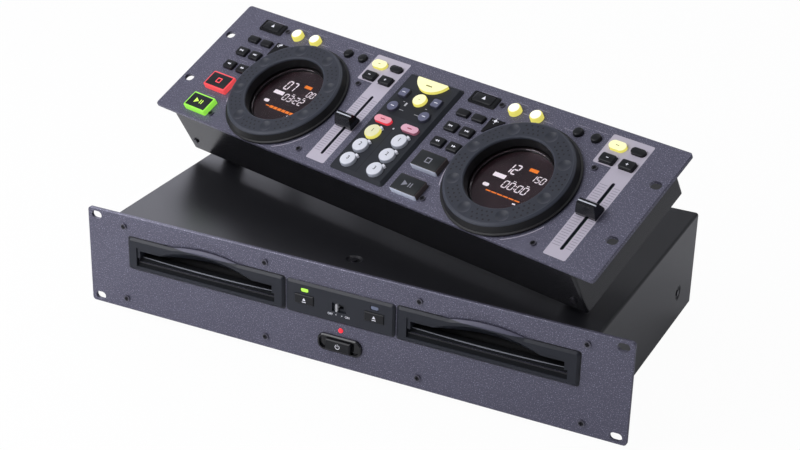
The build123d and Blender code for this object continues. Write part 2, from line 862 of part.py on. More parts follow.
def eject_frame_outline(deck, grow=0.0):
    kind, length, width, u, v, rise = deck_keys["deck_eject_button"][0]
    return bevelled(length + 8 + 2 * grow, width + 4 + 2 * grow, 1.5, deck_u(deck) + u, v)


def deck_screw_places(deck):
    return [(deck_u(deck) + u, v) for u, v in ((-54.0, 51.0), (-53.5, -55.5), (56.0, 24.5), (56.0, -55.5))]


def corner_lamp(deck, grow=0.0):
    """Three-cornered lens that follows the jog dial at the upper left."""
    lens = Rectangle(corner_lens_width + 2 * grow, corner_lens_height + 2 * grow)
    lens = Pos(corner_lens_u, corner_lens_v) * lens
    return Pos(deck_u(deck), 0) * (lens - Pos(jog_u, jog_v) * Circle(jog_radius + corner_lens_clear - grow))


def control_panel():
    panel = prism(rounded(rack_width, panel_height, panel_corner), -panel_thick, 0)
    panel = chamfer(top_edges(panel), panel_edge)
    holes = rack_slots(panel_slot_pitch, panel_slot_width)
    for deck in deck_sign:
        holes.append(Pos(deck_u(deck) + jog_u, jog_v) * Circle(tube_radius + fit_gap))
        slot = Rot(0, 0, 90) * SlotOverall(fader_slot_length, fader_slot_width)
        holes.append(Pos(deck_u(deck) + fader_u, fader_v) * slot)
        holes.append(corner_lamp(deck, fit_gap / 3))
        holes += [Pos(*place) * Circle(screw_radius + fit_gap / 3) for place in deck_screw_places(deck)]
    for hole in holes:
        panel -= prism(hole, -panel_thick - 1, 1)
    for deck in deck_sign:
        for keys in deck_keys.values():
            for key in keys:
                panel -= Pos(deck_u(deck), 0) * key_hole(key)
    for keys in console_keys.values():
        for key in keys:
            panel -= Pos(console_x, 0) * key_hole(key)
    return panel


def centre_console():
    """Raised block between the decks, bevelled all round, with its key holes."""
    length = console_head - console_foot
    outline = rounded(2 * console_half, length, console_corner, console_x, (console_head + console_foot) / 2)
    block_ = chamfer(top_edges(prism(outline, 0, console_rise)), console_bevel)
    for keys in console_keys.values():
        for key in keys:
            block_ -= Pos(console_x, 0) * key_hole(key)
    return block_


def key_group(name, deck=None):
    if deck is None:
        return [Pos(console_x, 0) * key_cap(key, console_rise) for key in console_keys[name]]
    return [Pos(deck_u(deck), 0) * key_cap(key) for key in deck_keys[name]]


def eject_bezels():
    frames = []
    for deck in deck_sign:
        frame = chamfer(top_edges(prism(eject_frame_outline(deck), 0, 1.6)), 1.0)
        frames.append(frame - Pos(deck_u(deck), 0) * key_hole(deck_keys["deck_eject_button"][0]))
    return frames


def jog_dial(deck):
    """Ring with a sloping side, finger dimples on top and a tube that turns on the display's neck."""
    hole = jog_hole_radius
    neck = tube_bore + shaft_gap
    top = jog_rise
    profile = Polyline(
        (jog_lip_radius, jog_lift), (jog_lip_radius, jog_lift + jog_lip),
        (jog_radius, jog_lift + jog_lip + 0.4),
        (jog_top_radius + 1.6, top - 1.2), (jog_top_radius, top), (hole + 0.8, top), (hole, top - 0.8),
        (window_radius + 1.6, jog_lift), (window_radius + 1.6, 0.2), (neck, 0.2), (neck, -tube_depth),
        (tube_radius, -tube_depth), (tube_radius, jog_lift), close=True,
    )
    ring = revolve(Plane.XZ * make_face(profile), Axis.Z)
    ball = (finger_radius ** 2 + finger_depth ** 2) / (2 * finger_depth)
    first = 21.0 if deck == "a" else 31.0
    for i in range(dimple_count):
        turn = Rot(0, 0, first + i * 360 / dimple_count)
        ring -= turn * Pos(dimple_ring, 0, top - finger_depth + ball) * Sphere(ball)
    return Pos(deck_u(deck) + jog_u, jog_v) * ring


def display_housing(deck):
    """Neck that the jog dial turns on, with the cup that holds the display behind its window."""
    base = board_level + board_thick
    neck = rod(tube_bore, -tube_depth - 1, -window_drop - 1.5) + rod(tube_radius, base, -tube_depth - 1)
    cup = rod(window_radius + barrel_wall, -tube_depth, -window_drop)
    cup -= rod(window_radius + shaft_gap, -display_drop, 1)
    neck -= rod(window_radius, -display_drop, 1)
    return Pos(deck_u(deck) + jog_u, jog_v) * (neck + cup)


def display_windows():
    windows = []
    for deck in deck_sign:
        pane = rod(window_radius, -window_drop - window_thick, -window_drop)
        windows.append(Pos(deck_u(deck) + jog_u, jog_v) * pane)
    return windows


def fader_span():
    """Lowest and highest offset of the knob from the middle of its slot."""
    reach = fader_slot_length / 2 - stem_length / 2 - end_margin
    return -reach, reach


def tempo_knob(deck):
    """Fader cap with finger hollows each side of its ridge, on a flat stem."""
    low = knob_lift
    high = knob_height
    half = knob_width / 2
    ridge = knob_top_width / 2
    side = Polyline(
        (-half, low), (half, low), (half, low + 2.5), (ridge, high - 0.6), (ridge - 0.6, high),
        (-ridge + 0.6, high), (-ridge, high - 0.6), (-half, low + 2.5), close=True,
    )
    cap = extrude(Plane.YZ * make_face(side), knob_length / 2, both=True)
    cap -= Pos(0, 0, high) * along_x_taper()
    stem = block((-stem_width / 2, stem_width / 2), (-stem_length / 2, stem_length / 2), (-stem_depth, low))
    return Pos(deck_u(deck) + fader_u, fader_v + tempo_rest[deck]) * (cap + stem)


def along_x_taper():
    """Pair of sloping cuts that narrow the knob's ends towards the ridge."""
    cuts = []
    for side in (-1, 1):
        end = knob_length / 2
        wedge = Polyline((end + 1, 1), (end + 1, -knob_height), (end - 1.2, 1), close=True)
        cut = extrude(Plane.XZ * make_face(wedge), knob_width, both=True)
        cuts.append(cut if side == 1 else mirror(cut, about=Plane.YZ))
    return cuts[0] + cuts[1]


def board_half():
    """Half width and half height of the controller's board."""
    inside = case_wall + control_board_inset
    return case_width / 2 - inside, case_height / 2 - case_wall - control_board_margin


def control_board():
    """Board behind the panel, with the two fader tracks standing on it."""
    half_u, half_v = board_half()
    board = block((-half_u, half_u), (-half_v, half_v), (board_level, board_level + board_thick))
    solids = [board]
    base = board_level + board_thick
    top = -panel_thick - rest_gap
    for deck in deck_sign:
        half = fader_slot_length / 2 + track_margin
        track = block((-track_width / 2, track_width / 2), (-half, half), (base, top))
        groove = fader_slot_length / 2 + end_margin
        slit = stem_width / 2 + fit_gap
        track -= block((-slit, slit), (-groove, groove), (-stem_depth - 1, 0))
        solids.append(Pos(deck_u(deck) + fader_u, fader_v) * track)
    return solids


def control_case():
    """Open box behind the panel with corner posts for the board and a socket window at the back."""
    outline = rounded(case_width, case_height, case_corner)
    inner = rounded(case_width, case_height, case_corner, 0, 0, -case_wall)
    case = prism(outline, -case_depth, -panel_thick)
    case = chamfer(case.faces().sort_by(Axis.Z)[0].outer_wire().edges(), 1.0)
    case -= prism(inner, -case_depth + case_wall, 0)
    half_u, half_v = board_half()
    for u in (-1, 0, 1):
        for v in (-1, 1):
            post = Pos(u * (half_u - post_size), v * (half_v - post_size))
            case += post * prism(Rectangle(post_size, post_size), -case_depth + case_wall, board_level)
    for u in socket_x:
        case -= Pos(u, case_height / 2, link_level) * Rot(90, 0, 0) * Cylinder(socket_radius + fit_gap, hole_reach)
    for u, w in case_screw_places():
        case -= Pos(u, -case_height / 2, w) * Rot(90, 0, 0) * Cylinder(screw_radius + fit_gap / 3, hole_reach)
    return case


def case_screw_places():
    return [(side * (case_width / 2 - case_screw_inset), -case_depth + case_screw_rise) for side in (-1, 1)]


def control_screws():
    screws = []
    for deck in deck_sign:
        for place in deck_screw_places(deck):
            screws.append(Pos(*place) * screw(control_screw_head))
    for u, w in case_screw_places():
        screws.append(Pos(u, -case_height / 2, w) * Rot(90, 0, 0) * screw())
    return screws


def link_sockets():
    """Round sockets in the back of the case."""
    sockets = []
    wall = case_height / 2
    for u in socket_x:
        half = link_body / 2
        body = block((-half, half), (-socket_body_depth, -case_wall), (-half, half))
        barrel = rod(socket_radius, 0, case_wall + link_proud)
        socket = Rot(-90, 0, 0) * (Pos(0, 0, -case_wall) * barrel) + body
        socket -= Rot(-90, 0, 0) * rod(socket_radius - socket_wall, -link_depth, case_wall + 2)
        sockets.append(Pos(u, wall, link_level) * socket)
    return sockets


def control_feet():
    """Four rubber pads; the front pair stands on the player when the controller is tilted."""
    pads = []
    for u in (-pad_x, pad_x):
        for v in (-pad_v, pad_v):
            pad = Pos(0, 0, -pad_height / 2) * Cone(pad_radius, pad_radius + 1.0, pad_height)
            pads.append(Pos(u, v, -case_depth) * pad)
    return pads


def stand_hinge():
    """Level of the stand's hinge line in the console layout."""
    return -case_depth - stand_drop


def stand_reach():
    """From the hinge line straight down to the player's top, less the sleeve."""
    height = console_level() + stand_v * sin(radians(tilt)) + stand_hinge() * cos(radians(tilt))
    return height - body_top - sleeve_radius - rest_gap


def tilt_stand():
    """Bent wire with turned-out ends in its clips and a rubber sleeve along its foot."""
    reach = stand_reach()
    ear = clip_start() + clip_width + rest_gap
    path = FilletPolyline(
        (-ear, 0, 0), (-stand_half, 0, 0), (-stand_half, 0, -reach),
        (stand_half, 0, -reach), (stand_half, 0, 0), (ear, 0, 0),
        radius=[ear_bend, stand_bend, stand_bend, ear_bend],
    )
    wire = sweep(Plane(origin=path @ 0, z_dir=path % 0) * Circle(wire_radius), path)
    sleeve = Pos(0, 0, -reach) * Rot(0, 90, 0) * Cylinder(sleeve_radius, sleeve_length)
    upright = Pos(0, stand_v, stand_hinge()) * Rot(-tilt, 0, 0)
    return upright * (wire + sleeve)


def clip_start():
    """Inner face of a clip, just past the bend of the wire's ear."""
    return stand_half + ear_bend + rest_gap


def stand_clips():
    """Blocks under the case that the wire's ends turn in."""
    clips = []
    for side in (-1, 1):
        middle = side * (clip_start() + clip_width / 2)
        width = (middle - clip_width / 2, middle + clip_width / 2)
        bore = wire_radius + shaft_gap
        clip = block(width, (-bore - clip_wall, bore + clip_wall), (-bore - clip_wall, stand_drop))
        clip -= Pos(middle, 0, 0) * Rot(0, 90, 0) * Cylinder(bore, clip_width + 2)
        clips.append(Pos(0, stand_v, stand_hinge()) * clip)
    return clips


def corner_lamps():
    return [prism(corner_lamp(deck), -panel_thick, 0.6) for deck in deck_sign]


# ---------------------------------------------------------------- assembly

def player_nodes():
    nodes = {
        "player_front_panel": front_panel(),
        "player_chassis": chassis(),
        "player_top_cover": top_cover(),
        "centre_bezel": centre_bezel(),
        "power_switch_frame": power_frame(),
        "indicator_lamps": indicator_lamps(),
        "player_screws": player_screws(),
        "player_feet": player_feet(),
        "rear_sockets": rear_sockets(),
        "power_inlet": power_inlet(),
        "main_board": main_board(),
        "power_transformer": power_transformer(),
        "power_button": power_button(),
        "mode_switch": mode_switch(),
    }
    per_deck = {
        "slot_bezel": slot_bezel, "eject_button": eject_button, "drive_frame": drive_frame,
        "loading_roller": loading_roller, "disc_spindle": spindle, "pickup_sled": pickup_sled,
    }
    for name, make in per_deck.items():
        for deck in deck_sign:
            nodes[f"{name}_{deck}"] = make(deck)
    return nodes


def controller_nodes():
    nodes = {
        "control_panel": control_panel(),
        "control_case": control_case(),
        "centre_console": centre_console(),
        "display_windows": display_windows(),
        "control_board": control_board(),
        "control_screws": control_screws(),
        "control_feet": control_feet(),
        "stand_clips": stand_clips(),
        "link_sockets": link_sockets(),
        "eject_bezels": eject_bezels(),
        "corner_lamps": corner_lamps(),
        "tilt_stand": tilt_stand(),
    }
    for deck in deck_sign:
        nodes[f"display_{deck}"] = display_housing(deck)
        nodes[f"jog_dial_{deck}"] = jog_dial(deck)
        nodes[f"tempo_knob_{deck}"] = tempo_knob(deck)
        for name in deck_keys:
            nodes[f"{name}_{deck}"] = key_group(name, deck)
    for name in console_keys:
        nodes[name] = key_group(name)
    place = console()
    return {name: moved(place, shape) for name, shape in nodes.items()}


def solids_of(shape):
    """All solids of a shape or of a list of shapes."""
    pieces = shape if isinstance(shape, (list, tuple)) else [shape]
    return [solid for piece in pieces for solid in piece.solids()]


def moved(place, shape):
    return [place * solid for solid in solids_of(shape)]


def origin_shift(nodes):
    """Brings the middle of the assembly's footprint, on the floor, to the origin."""
    box = Compound([solid for shape in nodes.values() for solid in solids_of(shape)]).bounding_box()
    return Pos(-(box.min.X + box.max.X) / 2, -(box.min.Y + box.max.Y) / 2, -box.min.Z)


def make_nodes():
    nodes = {**player_nodes(), **controller_nodes()}
    shift = origin_shift(nodes)
    return {name: moved(shift, shape) for name, shape in nodes.items()}, shift


def write_parts():
    nodes, _ = make_nodes()
    os.makedirs("parts", exist_ok=True)
    for name, solids in nodes.items():
        shape = solids[0] if len(solids) == 1 else Compound(solids)
        export_step(shape, f"parts/{name}.step")


if __name__ == "__main__":
    write_parts()
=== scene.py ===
from math import pi, radians

import bmesh
import bpy
from mathutils import Matrix, Vector


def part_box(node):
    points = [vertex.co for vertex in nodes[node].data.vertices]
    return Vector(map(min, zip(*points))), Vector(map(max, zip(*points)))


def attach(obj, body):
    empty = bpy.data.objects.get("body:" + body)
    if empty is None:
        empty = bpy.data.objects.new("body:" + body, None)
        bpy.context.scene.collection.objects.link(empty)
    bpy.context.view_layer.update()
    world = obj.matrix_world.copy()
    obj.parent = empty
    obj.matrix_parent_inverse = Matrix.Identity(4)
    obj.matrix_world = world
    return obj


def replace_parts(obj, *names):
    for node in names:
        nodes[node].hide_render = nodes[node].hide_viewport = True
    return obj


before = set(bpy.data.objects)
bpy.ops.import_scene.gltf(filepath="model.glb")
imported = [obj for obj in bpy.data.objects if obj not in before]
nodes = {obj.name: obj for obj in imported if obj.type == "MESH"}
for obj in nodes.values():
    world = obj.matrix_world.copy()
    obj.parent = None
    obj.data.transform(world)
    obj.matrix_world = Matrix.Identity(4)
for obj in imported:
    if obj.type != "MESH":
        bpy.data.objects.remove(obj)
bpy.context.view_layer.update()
mm = 0.001

# The part has two layouts in mm: the player's face and the controller's panel.
controller = {
    "tilt": 29.24,
    "yaw": -16.62,
    # middle of its panel, from the foot of the player's face
    "place": (-4.0, 107.1, 170.54),
}
# middle of each deck along the controller's panel
decks = {"a": -123.75, "b": 123.75}
deckPitch = decks["b"] - decks["a"]

faceLow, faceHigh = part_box("player_front_panel")
faceOrigin = Vector(((faceLow.x + faceHigh.x) / 2, faceLow.y, faceLow.z))
controlYaw = Matrix.Rotation(radians(controller["yaw"]), 4, "Z")
controlTilt = Matrix.Rotation(radians(controller["tilt"]), 4, "X")
controlOrigin = faceOrigin + Vector(controller["place"]) * mm
scaleDown = Matrix.Scale(mm, 4)
faceSpace = Matrix.Translation(faceOrigin) @ Matrix.Rotation(radians(90), 4, "X") @ scaleDown
controlSpace = Matrix.Translation(controlOrigin) @ controlYaw @ controlTilt @ scaleDown
playerSpace = Matrix.Translation(faceOrigin) @ scaleDown
print("frame loaded,", len(nodes), "nodes")


class Socket:
    # one output of a node, which Python's operators can work on
    def __init__(self, shader, output):
        self.shader = shader
        self.output = output

    def maths(self, operation, *values):
        return self.shader.add("ShaderNodeMath", {"operation": operation}, dict(enumerate(values)))

    def __add__(self, other):
        return self.maths("ADD", self, other)

    __radd__ = __add__

    def __sub__(self, other):
        return self.maths("SUBTRACT", self, other)

    def __rsub__(self, other):
        return self.maths("SUBTRACT", other, self)

    def __mul__(self, other):
        return self.maths("MULTIPLY", self, other)

    __rmul__ = __mul__

    def __truediv__(self, other):
        return self.maths("DIVIDE", self, other)

    def __abs__(self):
        return self.maths("ABSOLUTE", self)

    def __lt__(self, other):
        return self.maths("LESS_THAN", self, other)

    def __gt__(self, other):
        return self.maths("GREATER_THAN", self, other)

    def least(self, other):
        return self.maths("MINIMUM", self, other)

    def most(self, other):
        return self.maths("MAXIMUM", self, other)

    def root(self):
        return self.maths("SQRT", self)

    def part(self):
        return self.maths("FRACT", self)

    def clamp(self):
        return self.most(0.0).least(1.0)

    def degreesFrom(self, across):
        # turn of the point (across, self) about the origin
        return self.maths("ARCTAN2", self, across) * (180 / pi)


class Shader:
    # a material's node tree, with one method that adds any node
    def __init__(self, name, **shine):
        self.material = bpy.data.materials.new(name)
        self.material.use_nodes = True
        self.tree = self.material.node_tree
        self.surface = self.tree.nodes["Principled BSDF"]
        self.set(**shine)

    def add(self, kind, settings=None, values=None, out=0):
        node = self.tree.nodes.new(kind)
        for key, value in (settings or {}).items():
            if key == "stops":
                self.stops(node.color_ramp, value)
            else:
                setattr(node, key, value)
        for key, value in (values or {}).items():
            self.feed(node.inputs[key], value)
        return Socket(self, node.outputs[out])

    def feed(self, target, value):
        if isinstance(value, Socket):
            self.tree.links.new(value.output, target)
        else:
            target.default_value = value

    def stops(self, ramp, stops):
        while len(ramp.elements) < len(stops):
            ramp.elements.new(1.0)
        for element, (place, colour) in zip(ramp.elements, stops):
            element.position = place
            element.color = (*colour, 1.0)

    def set(self, **values):
        for name, value in values.items():
            words = name.replace("_", " ")
            self.feed(self.surface.inputs[words], value)

    def here(self, space=None):
        # object coordinates in mm, in the part's own frame or in one of its layouts
        place = self.add("ShaderNodeTexCoord", None, None, 3)
        if space is None:
            space = scaleDown
        where, turn, size = space.decompose()
        return self.add("ShaderNodeMapping", {"vector_type": "TEXTURE"},
                        {0: place, 1: tuple(where), 2: tuple(turn.to_euler()), 3: tuple(size)})

    def split(self, vector):
        node = self.tree.nodes.new("ShaderNodeSeparateXYZ")
        self.feed(node.inputs[0], vector)
        return [Socket(self, output) for output in node.outputs]

    def baseColour(self):
        # what feeds the base colour so far
        return Socket(self, self.surface.inputs["Base Color"].links[0].from_socket)

    def noise(self, vector, size, detail=2.0):
        # size is that of one blotch in mm
        return self.add("ShaderNodeTexNoise", None, {"Vector": vector, "Scale": 1.0 / size, "Detail": detail})

    def mix(self, amount, first, second):
        pair = [value if isinstance(value, Socket) else (*value, 1.0) for value in (first, second)]
        return self.add("ShaderNodeMix", {"data_type": "RGBA"}, {0: amount, 6: pair[0], 7: pair[1]}, 2)

    def ramp(self, value, stops):
        return self.add("ShaderNodeValToRGB", {"stops": stops}, {0: value})

    def bump(self, height, strength, distance):
        # distance is in mm
        self.set(Normal=self.add("ShaderNodeBump", None,
                                 {"Strength": strength, "Distance": distance * mm, "Height": height}))


def distance(x, y):
    return (x * x + y * y).root()


camera = {
    "place": (0.5528, -1.1549, 0.6925),
    "ahead": (-0.4192, 0.8071, -0.4158),
    "right": (0.8849, 0.4657, 0.0118),
    "lens": 75.91,
    "sensor": 36.0,
    "shift": (0.0594, -0.0340),
    "farthest": 20.0,
}


def makeCamera():
    lens = bpy.data.cameras.new("camera")
    lens.lens = camera["lens"]
    lens.sensor_width = camera["sensor"]
    lens.shift_x, lens.shift_y = camera["shift"]
    lens.clip_end = camera["farthest"]
    ahead = Vector(camera["ahead"]).normalized()
    right = Vector(camera["right"])
    right = (right - ahead * right.dot(ahead)).normalized()
    up = right.cross(ahead)
    turn = Matrix((right, up, -ahead)).transposed().to_4x4()
    eye = bpy.data.objects.new("camera", lens)
    eye.matrix_world = Matrix.Translation(camera["place"]) @ turn
    bpy.context.scene.collection.objects.link(eye)
    bpy.context.scene.camera = eye


studio = {
    "floorColour": (0.90, 0.90, 0.91),
    "floorCloud": 40.0,
    "floorShade": 0.97,
    "floorRough": 0.7,
    "floorGlow": (1.0, 1.0, 1.0),
    "floorShown": 0.97,
    "floorReach": 6.0,
    # where the floor bends up into the backdrop, how wide the bend is and how far it rises above it
    "backdropStart": 4.0,
    "backdropBend": 0.8,
    "backdropRise": 4.0,
    "bendSteps": 16,
    "skyColour": (0.90, 0.92, 1.0),
    "skyStrength": 0.24,
    "lampAim": (0, 0, 0.1),
    # lamp: name, place, size, power, colour
    "lamps": (
        ("key", (-0.75, -0.71, 0.90), 1.0, 13.5, (0.97, 0.97, 1.0)),
        ("fill", (0.2, -2.1, 1.5), 1.4, 1.6, (0.95, 0.97, 1.0)),
        ("back", (-1.15, 1.25, 0.95), 0.8, 4.0, (0.88, 0.88, 1.0)),
        ("rim", (0.1, 1.2, 2.3), 1.6, 12.0, (0.97, 0.98, 1.0)),
    ),
}


def makeStage():
    # a level floor that bends up into a backdrop far behind
    mesh = bmesh.new()
    reach = studio["floorReach"]
    start = studio["backdropStart"]
    bend = studio["backdropBend"]
    ends = [mesh.verts.new((side * reach, -reach, 0)) for side in (-1, 1)]
    run = bmesh.ops.extrude_edge_only(mesh, edges=[mesh.edges.new(ends)])["geom"]
    far = [v for v in run if isinstance(v, bmesh.types.BMVert)]
    bmesh.ops.translate(mesh, vec=(0, reach + start, 0), verts=far)
    side = [e for e in run if isinstance(e, bmesh.types.BMEdge) and all(v in far for v in e.verts)]
    bmesh.ops.spin(mesh, geom=side, cent=(0, start, bend), axis=(1, 0, 0), angle=radians(90),
                   steps=studio["bendSteps"])
    top = [v for v in mesh.verts if v.co.z > bend * 0.999]
    wall = [e for e in mesh.edges if all(v in top for v in e.verts)]
    rise = bmesh.ops.extrude_edge_only(mesh, edges=wall)["geom"]
    highest = [v for v in rise if isinstance(v, bmesh.types.BMVert)]
    bmesh.ops.translate(mesh, vec=(0, 0, studio["backdropRise"]), verts=highest)
    bmesh.ops.recalc_face_normals(mesh, faces=mesh.faces)
    floor = finish(mesh, "floor", smooth=True)
    paint = Shader("floorPaint", Roughness=studio["floorRough"])
    cloud = paint.noise(paint.here(), studio["floorCloud"])
    shade = tuple(studio["floorShade"] * c for c in studio["floorColour"])
    paint.set(Base_Color=paint.mix(cloud, studio["floorColour"], shade))
    # the camera sees the floor nearly white, while the light that it gives the part stays plain
    seen = paint.add("ShaderNodeLightPath") * studio["floorShown"]
    glow = paint.add("ShaderNodeEmission", None, {"Color": (*studio["floorGlow"], 1.0)})
    lit = Socket(paint, paint.surface.outputs[0])
    both = paint.add("ShaderNodeMixShader", None, {0: seen, 1: lit, 2: glow})
    paint.feed(paint.tree.nodes["Material Output"].inputs["Surface"], both)
    floor.data.materials.append(paint.material)


def makeLight():
    world = bpy.data.worlds.new("sky")
    world.use_nodes = True
    sky = world.node_tree.nodes["Background"]
    sky.inputs["Color"].default_value = (*studio["skyColour"], 1.0)
    sky.inputs["Strength"].default_value = studio["skyStrength"]
    bpy.context.scene.world = world
    for name, place, size, power, colour in studio["lamps"]:
        lamp = bpy.data.lights.new(name, "AREA")
        lamp.size = size
        lamp.energy = power
        lamp.color = colour
        item = bpy.data.objects.new(name, lamp)
        item.location = place
        aim = Vector(studio["lampAim"]) - Vector(place)
        item.rotation_euler = aim.to_track_quat("-Z", "Y").to_euler()
        bpy.context.scene.collection.objects.link(item)


creaseAngle = radians(35)


def finish(mesh, name, materials=(), space=None, smooth=False):
    # turns a bmesh into an object, with its place in its mesh
    if space is not None:
        bmesh.ops.transform(mesh, matrix=space, verts=mesh.verts)
    data = bpy.data.meshes.new(name)
    mesh.to_mesh(data)
    mesh.free()
    if smooth:
        data.polygons.foreach_set("use_smooth", [True] * len(data.polygons))
        data.set_sharp_from_angle(angle=creaseAngle)
    piece = bpy.data.objects.new(name, data)
    bpy.context.scene.collection.objects.link(piece)
    for material in materials:
        data.materials.append(material)
    return piece


def finishPiece(mesh, name, body, paints, space=controlSpace, smooth=True):
    # a dressed piece that rides on a body and takes its finishes from the finishes made here
    piece = finish(mesh, name, [finishes[paint].material for paint in paints], space, smooth)
    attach(piece, body)
    return piece


def paintNode(name, shader):
    nodes[name].data.materials.clear()
    nodes[name].data.materials.append(shader.material)


finishes = {}

panelPaint = {
    "base": (0.118, 0.115, 0.166),
    "dark": (0.094, 0.092, 0.134),
    "cloudSize": 60.0,
    "flake": (0.330, 0.320, 0.420),
    "flakeSize": 0.9,
    "flakeEdge": (0.58, 0.70),
    "grainSize": 0.35,
    "grainBump": 0.25,
    "grainDepth": 0.05,
    "rough": 0.46,
    "roughChange": 0.08,
    "metal": 0.35,
    "coat": 0.15,
    "coatRough": 0.35,
    "print": (0.520, 0.480, 0.560),
}


def makePanelPaint(name, space):
    # grey paint with pale flakes, faintly metallic under a thin coat
    shader = Shader(name, Metallic=panelPaint["metal"], Coat_Weight=panelPaint["coat"],
                    Coat_Roughness=panelPaint["coatRough"])
    place = shader.here(space)
    cloud = shader.noise(place, panelPaint["cloudSize"])
    base = shader.mix(cloud, panelPaint["dark"], panelPaint["base"])
    low, high = panelPaint["flakeEdge"]
    speck = shader.noise(place, panelPaint["flakeSize"], 1.0)
    flakes = shader.ramp(speck, [(low, (0, 0, 0)), (high, (1, 1, 1))])
    base = shader.mix(flakes, base, panelPaint["flake"])
    grain = shader.noise(place, panelPaint["grainSize"])
    shader.set(Base_Color=base, Roughness=panelPaint["rough"] - panelPaint["roughChange"] * grain)
    shader.bump(grain, panelPaint["grainBump"], panelPaint["grainDepth"])
    finishes[name] = shader
    return shader


def makePlain(name, colour, dark, rough, grainSize, bump, **shine):
    # moulded or painted surface with a fine grain and faint clouding
    shader = Shader(name, **({"Specular_IOR_Level": 0.3} | shine))
    place = shader.here()
    cloud = shader.noise(place, 25.0, 3.0)
    grain = shader.noise(place, grainSize, 2.0)
    shader.set(Base_Color=shader.mix((cloud * 0.7 + grain * 0.3).clamp(), dark, colour))
    shader.set(Roughness=rough + 0.10 * grain - 0.05)
    shader.bump(grain, bump, grainSize * 0.12)
    return shader


plain = {
    # finish: colour, darker shade, roughness, grain in mm, bump, other sockets
    "coverPaint": ((0.012, 0.012, 0.015), (0.009, 0.009, 0.011), 0.34, 0.6, 0.08,
                   {"Specular_IOR_Level": 0.55}),
    "casePaint": ((0.009, 0.009, 0.011), (0.006, 0.006, 0.008), 0.24, 0.6, 0.06,
                  {"Specular_IOR_Level": 0.55}),
    "chassisSteel": ((0.009, 0.009, 0.010), (0.006, 0.006, 0.007), 0.60, 0.6, 0.08,
                     {"IOR": 1.12, "Specular_IOR_Level": 0.5}),
    "keyBlack": ((0.012, 0.013, 0.015), (0.008, 0.008, 0.010), 0.34, 0.4, 0.06, {}),
    "glossBlack": ((0.008, 0.008, 0.010), (0.005, 0.005, 0.006), 0.16, 0.5, 0.03,
                   {"Coat_Weight": 0.4, "Coat_Roughness": 0.05}),
    "bezelPlastic": ((0.026, 0.029, 0.038), (0.020, 0.022, 0.030), 0.38, 0.4, 0.10, {}),
    "paleKnob": ((0.50, 0.50, 0.52), (0.42, 0.42, 0.44), 0.40, 0.4, 0.05, {}),
    "rubber": ((0.018, 0.018, 0.019), (0.010, 0.010, 0.011), 0.75, 0.8, 0.3, {}),
    "brightSteel": ((0.55, 0.56, 0.58), (0.42, 0.43, 0.45), 0.28, 0.3, 0.08, {"Metallic": 1.0}),
    "drivePlastic": ((0.040, 0.040, 0.044), (0.026, 0.026, 0.029), 0.50, 0.5, 0.15, {}),
    "sledPlastic": ((0.22, 0.22, 0.24), (0.15, 0.15, 0.17), 0.45, 0.5, 0.1, {}),
    "circuitGreen": ((0.02, 0.12, 0.05), (0.01, 0.07, 0.03), 0.35, 1.5, 0.2, {}),
    "core": ((0.12, 0.11, 0.10), (0.06, 0.055, 0.05), 0.55, 1.0, 0.3, {"Metallic": 0.5}),
    "displayBlack": ((0.012, 0.009, 0.010), (0.006, 0.005, 0.006), 0.35, 0.5, 0.05, {}),
}

nodeFinish = {
    "coverPaint": ("player_top_cover",),
    "casePaint": ("control_case",),
    "chassisSteel": ("player_chassis",),
    "keyBlack": ("eject_button_a", "eject_button_b", "power_button", "stand_clips"),
    "glossBlack": ("corner_lamps", "eject_bezels", "power_switch_frame"),
    "bezelPlastic": ("centre_bezel",),
    "paleKnob": ("mode_switch",),
    "rubber": ("player_feet", "control_feet", "loading_roller_a", "loading_roller_b"),
    "brightSteel": ("tilt_stand", "disc_spindle_a", "disc_spindle_b"),
    "drivePlastic": ("drive_frame_a", "drive_frame_b", "power_inlet", "link_sockets"),
    "sledPlastic": ("pickup_sled_a", "pickup_sled_b"),
    "circuitGreen": ("main_board", "control_board"),
    "core": ("power_transformer",),
    "displayBlack": ("display_a", "display_b"),
}


def paintNodes():
    for name, (*surface, shine) in plain.items():
        finishes[name] = makePlain(name, *surface, **shine)
        for node in nodeFinish[name]:
            paintNode(node, finishes[name])
    paintNode("player_front_panel", makePanelPaint("facePaint", faceSpace))
    paintNode("control_panel", makePanelPaint("deckPaint", controlSpace))


def drawOutline(kind, length, width, corner=1.6):
    # one flat face in mm, centred on the origin: a round, a half disc, an oval or a block
    mesh = bmesh.new()
    if kind == "round":
        bmesh.ops.create_circle(mesh, cap_ends=True, radius=length / 2, segments=40)
    elif kind == "half":
        radius = (length ** 2 / 4 + width ** 2) / (2 * width)
        bmesh.ops.create_circle(mesh, cap_ends=True, radius=radius, segments=96)
        bmesh.ops.translate(mesh, vec=(0, radius - width, 0), verts=mesh.verts)
        cut = mesh.verts[:] + mesh.edges[:] + mesh.faces[:]
        bmesh.ops.bisect_plane(mesh, geom=cut, plane_co=(0, 0, 0), plane_no=(0, 1, 0), clear_outer=True)
        ends = [v for v in mesh.verts if abs(v.co.y) < 1e-5]
        bmesh.ops.bevel(mesh, geom=ends, offset=corner, affect="VERTICES",
                        segments=5, profile=0.5, material=-1)
    else:
        bmesh.ops.create_grid(mesh, x_segments=1, y_segments=1, size=0.5)
        bmesh.ops.scale(mesh, vec=(length, width, 1), verts=mesh.verts)
        reach = width / 2 - 0.01 if kind == "oval" else corner
        bmesh.ops.bevel(mesh, geom=mesh.verts[:], offset=reach, affect="VERTICES",
                        segments=10 if kind == "oval" else 5, profile=0.5, material=-1)
    return mesh


